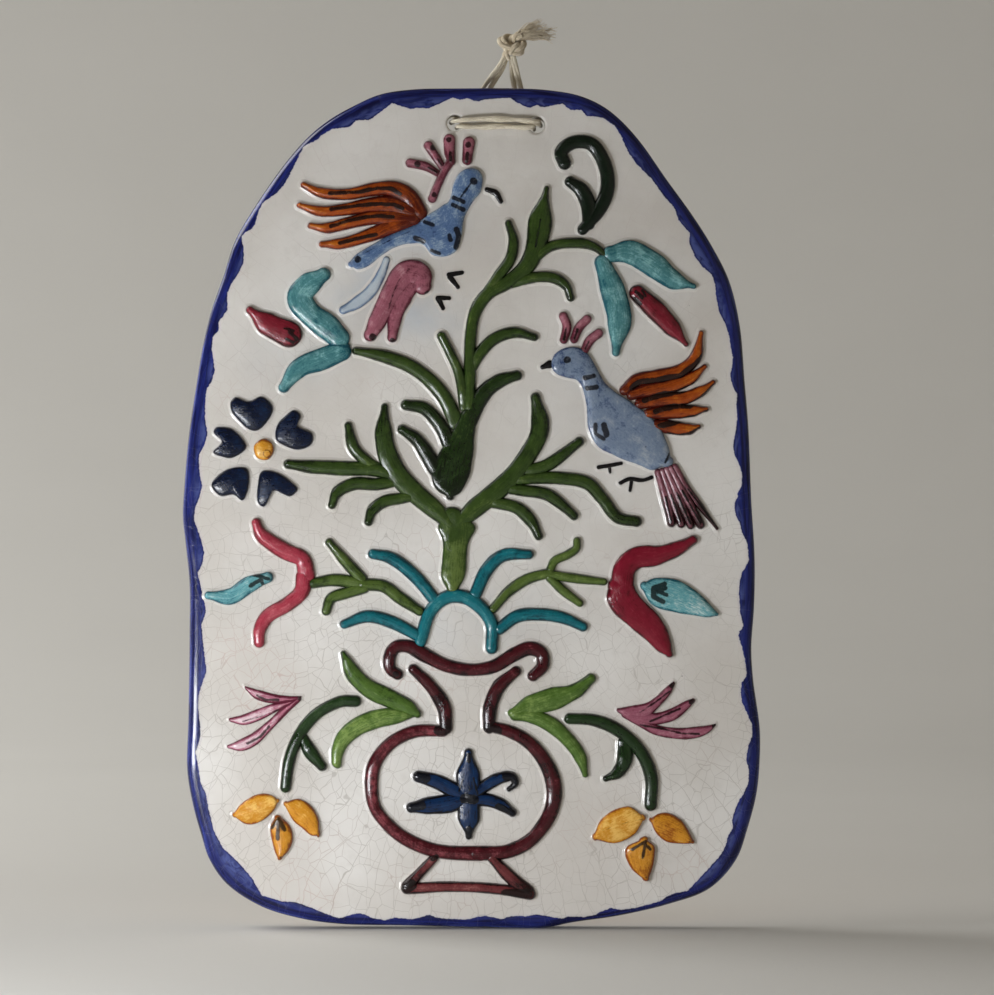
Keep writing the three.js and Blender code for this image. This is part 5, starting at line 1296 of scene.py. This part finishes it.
# ---- Leaves and stems beside the vase
# Broad green leaves touch the vase's neck on each side, and a thin dark stem with one side leaf arches
# outwards and down from them.
LEAF_GREEN = brushed_glaze("leaf_green", (28, 48, 14), (74, 102, 40), (124, 148, 78), (14, 24, 8), 0.5,
                           0.45, 0.5, (160, 175, 130))
STEM_GREEN = brushed_glaze("stem_green", (9, 20, 8), (28, 50, 22), (68, 94, 54), (8, 14, 6), 0.4, 0.45,
                           0.4, (130, 145, 120))
leaves = [
    ribbed_pad([(-46.8, -52.2, -45, -51.6), (-45.4, -59.4, -41, -56), (-41.6, -64.8, -37, -60.4),
                (-36, -69, -32, -63.2), (-29.4, -71.6, -26, -66.2), (-23.4, -74.2, -21, -69.2),
                (-20.2, -74.8, -18.9, -72)], shade=(0.4, 0.45)),
    ribbed_pad([(-21, -74.8, -20, -74), (-26, -76.8, -27, -71.4), (-33.4, -78.8, -35.4, -72.2),
                (-39.6, -81.2, -43, -75.8), (-44.2, -84.8, -48, -80.4), (-46.2, -89, -50.2, -86.6),
                (-46.6, -91.6, -50.2, -90.6)], shade=(0.75, 0.8)),
    coil([(14.4, -73.2), (22, -70.2), (30, -67.9), (37, -65.2), (42.4, -60.9)], [3.4, 7.4, 8, 5.6, 3.8],
         shade=(0.75, 0.45)),
    coil([(15.4, -74), (21, -74.2), (28.4, -77.6), (35, -83.7), (38.8, -89.5), (40.4, -95.2)],
         [4, 5.4, 5.8, 5, 4.6, 2.2], shade=(0.65, 0.6)),
    coil([(-41.6, -69), (-46.7, -69.2), (-55.2, -73.4), (-61.6, -81), (-65.2, -90), (-66.6, -99.8)],
         [4.2, 4.2, 4.4, 4.4, 3.8], shade=(0.55, 0.4), paint=1),
    coil([(-60.6, -81.4), (-57.9, -86.8), (-53.6, -92.2)], [3.6, 5, 3.6], shade=(0.45, 0.4), under=True,
         paint=1),
    coil([(34.8, -75.2), (43.8, -75.8), (52.7, -79.8), (60.2, -87.2), (63.9, -96), (63.8, -106)],
         [4, 4.6, 4.8, 4.4], shade=(0.5, 0.35), paint=1),
    coil([(54.4, -83.6), (54.4, -90), (51.8, -94.6), (47.8, -96.6)], [4.6, 5.6, 4.6, 2.4],
         shade=(0.45, 0.25), under=True, paint=1),
]
relief("relief_leaves", leaves, [LEAF_GREEN, STEM_GREEN])

# ---- Pink flowers
# Two small pink flowers, each of three low prongs that fan from one root, with dark lines along the prongs.
PINK = brushed_glaze("pink", (96, 34, 52), (176, 108, 128), (222, 198, 204), (52, 36, 38), 0.6, 0.4, 1.3,
                     (200, 170, 180))
ROSE = brushed_glaze("rose", (88, 32, 48), (148, 84, 102), (184, 130, 142), (20, 7, 10), 0.5, 0.5, 0.8,
                     (180, 150, 158))
pink_flowers = [
    # The left flower's pads run from near white at their left tips to pink at the root: partly the prongs'
    # own pale middles, partly a painted highlight on the side towards the window light.
    ribbed_pad([(-80.6, -63.7, -80.4, -65.3), (-77.5, -64.6, -77.6, -68), (-74, -65.6, -73.5, -69.5),
                (-70, -66.6, -69.5, -69.8), (-65, -67.2, -65.5, -69.3), (-61.4, -67.2, -62, -68.6)], 1.5,
                (0.75, 0.3)),
    ribbed_pad([(-86.2, -75, -85.7, -76.6), (-82.3, -74, -81.6, -77.6), (-76.6, -71.7, -75.4, -75.7),
                (-71, -69.8, -69.5, -72.6), (-63.8, -68.4, -63, -69.4)], 1.5, (1.0, 0.5)),
    ribbed_pad([(-87, -84.6, -86.6, -85.9), (-83.4, -83, -82.3, -86.8), (-78.4, -80.4, -76.4, -84.2),
                (-74, -77, -71.8, -79.6), (-67.6, -71.2, -65.5, -72.9), (-62.4, -67.6, -61.3, -69)], 1.5,
                (1.1, 0.4)),
    ribbed_pad([(52.4, -71.5, 52.4, -73.2), (56, -70.8, 57, -76), (62, -69.7, 62.5, -75),
                (65.5, -67.5, 67, -70.9), (69, -64.1, 71, -66.2), (71.4, -62.3, 72.2, -63.4)], 1.6,
                (0.6, 0.4), 1),
    ribbed_pad([(56, -72, 57, -76.4), (64, -73.2, 64, -77.6), (70, -72, 72, -75.9),
                (76.5, -68.8, 77, -72), (78.4, -68.2, 79.2, -69.4)], 1.6, (0.4, 0.6), 1),
    ribbed_pad([(54, -73, 54, -74.9), (60, -75, 59, -77.8), (66, -77.4, 65, -81),
                (73, -78.5, 72.4, -82.4), (80, -78.2, 80, -82.2), (84.6, -77.6, 84.6, -80.2),
                (86.6, -77.2, 86.8, -77.9)], 1.6, (0.5, 0.7), 1),
]
pink_marks = [
    ([(-61.4, -67.9)], 1.0), ([(-76.7, -66.8), (-73.9, -68.5), (-69.2, -68.5)], 0.45),
    ([(-81.8, -76.2), (-75.6, -74.5), (-69.2, -72)], 0.25),
    ([(-80, -84), (-75.4, -81.6), (-72.4, -78)], 0.45), ([(71.4, -63.2)], 1.2), ([(78.3, -69.2)], 1.0),
    ([(86.5, -77.8)], 0.9), ([(60, -72.9), (65.5, -69.2), (70.5, -65.4)], 0.3),
    ([(63.5, -76.2), (70, -73.4), (74, -71.6)], 0.35),
    ([(60, -77.4), (68, -78.8), (74.5, -80.4), (81, -80.7)], 0.35),
]
relief("relief_pink_flowers", pink_flowers, [PINK, ROSE], pink_marks)

# ---- Amber flowers
# Two amber flowers at the foot of the stems, each of three plump petals; the lower petal has a dark arrow
# and the petals' tips are ringed in brown.
amber_flowers = [
    ribbed_pad([(-84.8, -108.6, -84.4, -110.6), (-82.3, -105.5, -81, -112.8),
                (-76.6, -102.1, -75.4, -111.9), (-71.8, -102.4, -70.8, -108),
                (-69.6, -103.8, -69.4, -105.4)], shade=(0.6, 0.75)),
    ribbed_pad([(-66, -104.8, -66.8, -106.6), (-61.6, -103.9, -64, -111.4), (-57.4, -106.3, -61, -114),
                (-54.9, -110.8, -57.6, -116.8), (-54.4, -115.4, -55.4, -117.2)], shade=(0.6, 0.4)),
    ribbed_pad([(-70.4, -110.8, -68, -110.6), (-71.9, -113.5, -65.2, -113.4), (-71.6, -118.4, -64, -118),
                (-70.6, -122.4, -65.4, -122.2), (-69.4, -125, -67.8, -124.9)], shade=(0.55, 0.4)),
    ribbed_pad([(43.8, -116, 44.6, -118.6), (46, -111.4, 49, -119.6), (51, -107.5, 53.6, -119),
                (56.4, -106.7, 58.6, -115.8), (60.4, -109.3, 61, -111.8)], shade=(0.7, 0.8)),
    ribbed_pad([(64, -110.6, 63.8, -112.2), (67, -109, 65.6, -115.9), (71, -109.3, 68.9, -118.8),
                (75, -111.9, 72.4, -119.9), (78, -116.6, 76.4, -120), (79, -118.6, 78.4, -119.8)],
                shade=(0.4, 0.3)),
    ribbed_pad([(59.4, -118.8, 62.8, -118.7), (55.2, -121, 65.1, -120.8), (54.7, -124.4, 65.1, -124.2),
                (56.6, -128.6, 64.6, -127.8), (60.6, -132.2, 63.2, -131.9)], shade=(0.45, 0.3)),
]
AMBER_MARKED = brushed_glaze("amber_marked", (142, 70, 12), (206, 140, 38), (236, 190, 100), (36, 24, 12),
                             0.4, 0.55, 0.75, (226, 196, 140))
amber_marks = [
    ([(-69, -110.8), (-69.3, -118)], 0.65), ([(-71.4, -114.1), (-69, -110.9), (-66.9, -114.8)], 0.65),
    ([(57.2, -121.7), (61.8, -118.9), (60.8, -124.7)], 0.65), ([(61.4, -119.6), (63.5, -121.6)], 0.6),
    ([(61, -110.9), (54.5, -112.2), (46.5, -114.9)], 0.02), ([(77.5, -118.9)], 0.2),
    ([(62, -131.7)], 0.3), ([(-68.4, -124.6)], 0.3), ([(-70.4, -105)], 0.2), ([(-55.4, -116.6)], 0.2),
]
relief("relief_amber_flowers", amber_flowers, [AMBER_MARKED], amber_marks)

# ---- Stage
# A plain pale studio: a wide floor that curves up into a low wall all round.
STAGE_RADIUS = 2.3
STAGE_WALL = 1.5
STAGE_CURVE = 1.45
STAGE_MIDDLE = 0.4


def stage_bowl(floor):
    """Surface of revolution: a flat floor, a quarter circle up and an upright wall."""
    quarter = np.linspace(0, np.pi / 2, 20)
    reach = np.concatenate([[0, STAGE_MIDDLE], STAGE_RADIUS - STAGE_CURVE * (1 - np.sin(quarter)),
                            [STAGE_RADIUS]])
    height = np.concatenate([[0, 0], STAGE_CURVE * (1 - np.cos(quarter)), [STAGE_WALL]])
    turn = np.linspace(0, 2 * np.pi, 97)
    x = reach[:, None] * np.cos(turn)
    y = reach[:, None] * np.sin(turn)
    z = floor + np.broadcast_to(height[:, None], x.shape)
    index = np.arange(x.size).reshape(x.shape)
    index[0] = 0
    index[:, -1] = index[:, 0]
    return np.stack([x, y, z], -1).reshape(-1, 3) / MM, grid_triangles(index)[:, ::-1]


material, tree, shader = new_material("stage_paper")
paper = noise(tree, add(tree, "TexCoord").outputs["Object"], 6, 2)
tree.links.new(mixed(tree, paper, linear(214, 213, 209), linear(219, 218, 214)),
               shader.inputs["Base Color"])
shader.inputs["Roughness"].default_value = 0.95
shader.inputs["Specular IOR Level"].default_value = 0.1
stage_places, stage_triangles = stage_bowl(CAD_BOX[0].z)
stage = new_piece("stage_floor", stage_places, stage_triangles, {}, [material])

# ---- Light
# A small soft window light stands low at the front left and a weak warm fill on the right. A lamp turned to
# the backdrop makes it paler at the left, under a faint warm sky.
SKY_TINT = (1.0, 0.86, 0.68, 1)
SKY_STRENGTH = 0.12


def soft_light(name, place, aim, size, power, tint):
    """A rectangular soft light at a place in metres, turned to its aim."""
    data = bpy.data.lights.new(name, "AREA")
    data.shape = "RECTANGLE"
    data.size, data.size_y = size
    data.energy = power
    data.color = tint
    lamp = bpy.data.objects.new(name, data)
    bpy.context.scene.collection.objects.link(lamp)
    lamp.location = place
    toward = np.array(aim) - np.array(place)
    lamp.rotation_euler = Vector(toward).to_track_quat("-Z", "Y").to_euler()
    lamp.visible_camera = False


soft_light("window", (-0.31, -0.39, -0.11), (0, 0, -0.34), (0.22, 0.07), 2.0, (0.93, 0.955, 1.0))
soft_light("fill", (0.9, -1.1, 0.5), (0, 0, 0), (1.2, 1.2), 0.5, (1.0, 0.88, 0.72))
soft_light("backdrop", (-1.3, 0.4, 0.95), (-0.5, 1.1, -0.1), (1.6, 0.8), 23, (1.0, 0.995, 0.98))
world = bpy.data.worlds.new("sky")
world.use_nodes = True
sky = world.node_tree.nodes["Background"]
sky.inputs["Color"].default_value = SKY_TINT
sky.inputs["Strength"].default_value = SKY_STRENGTH
bpy.context.scene.world = world
bpy.context.scene.view_settings.view_transform = "Standard"
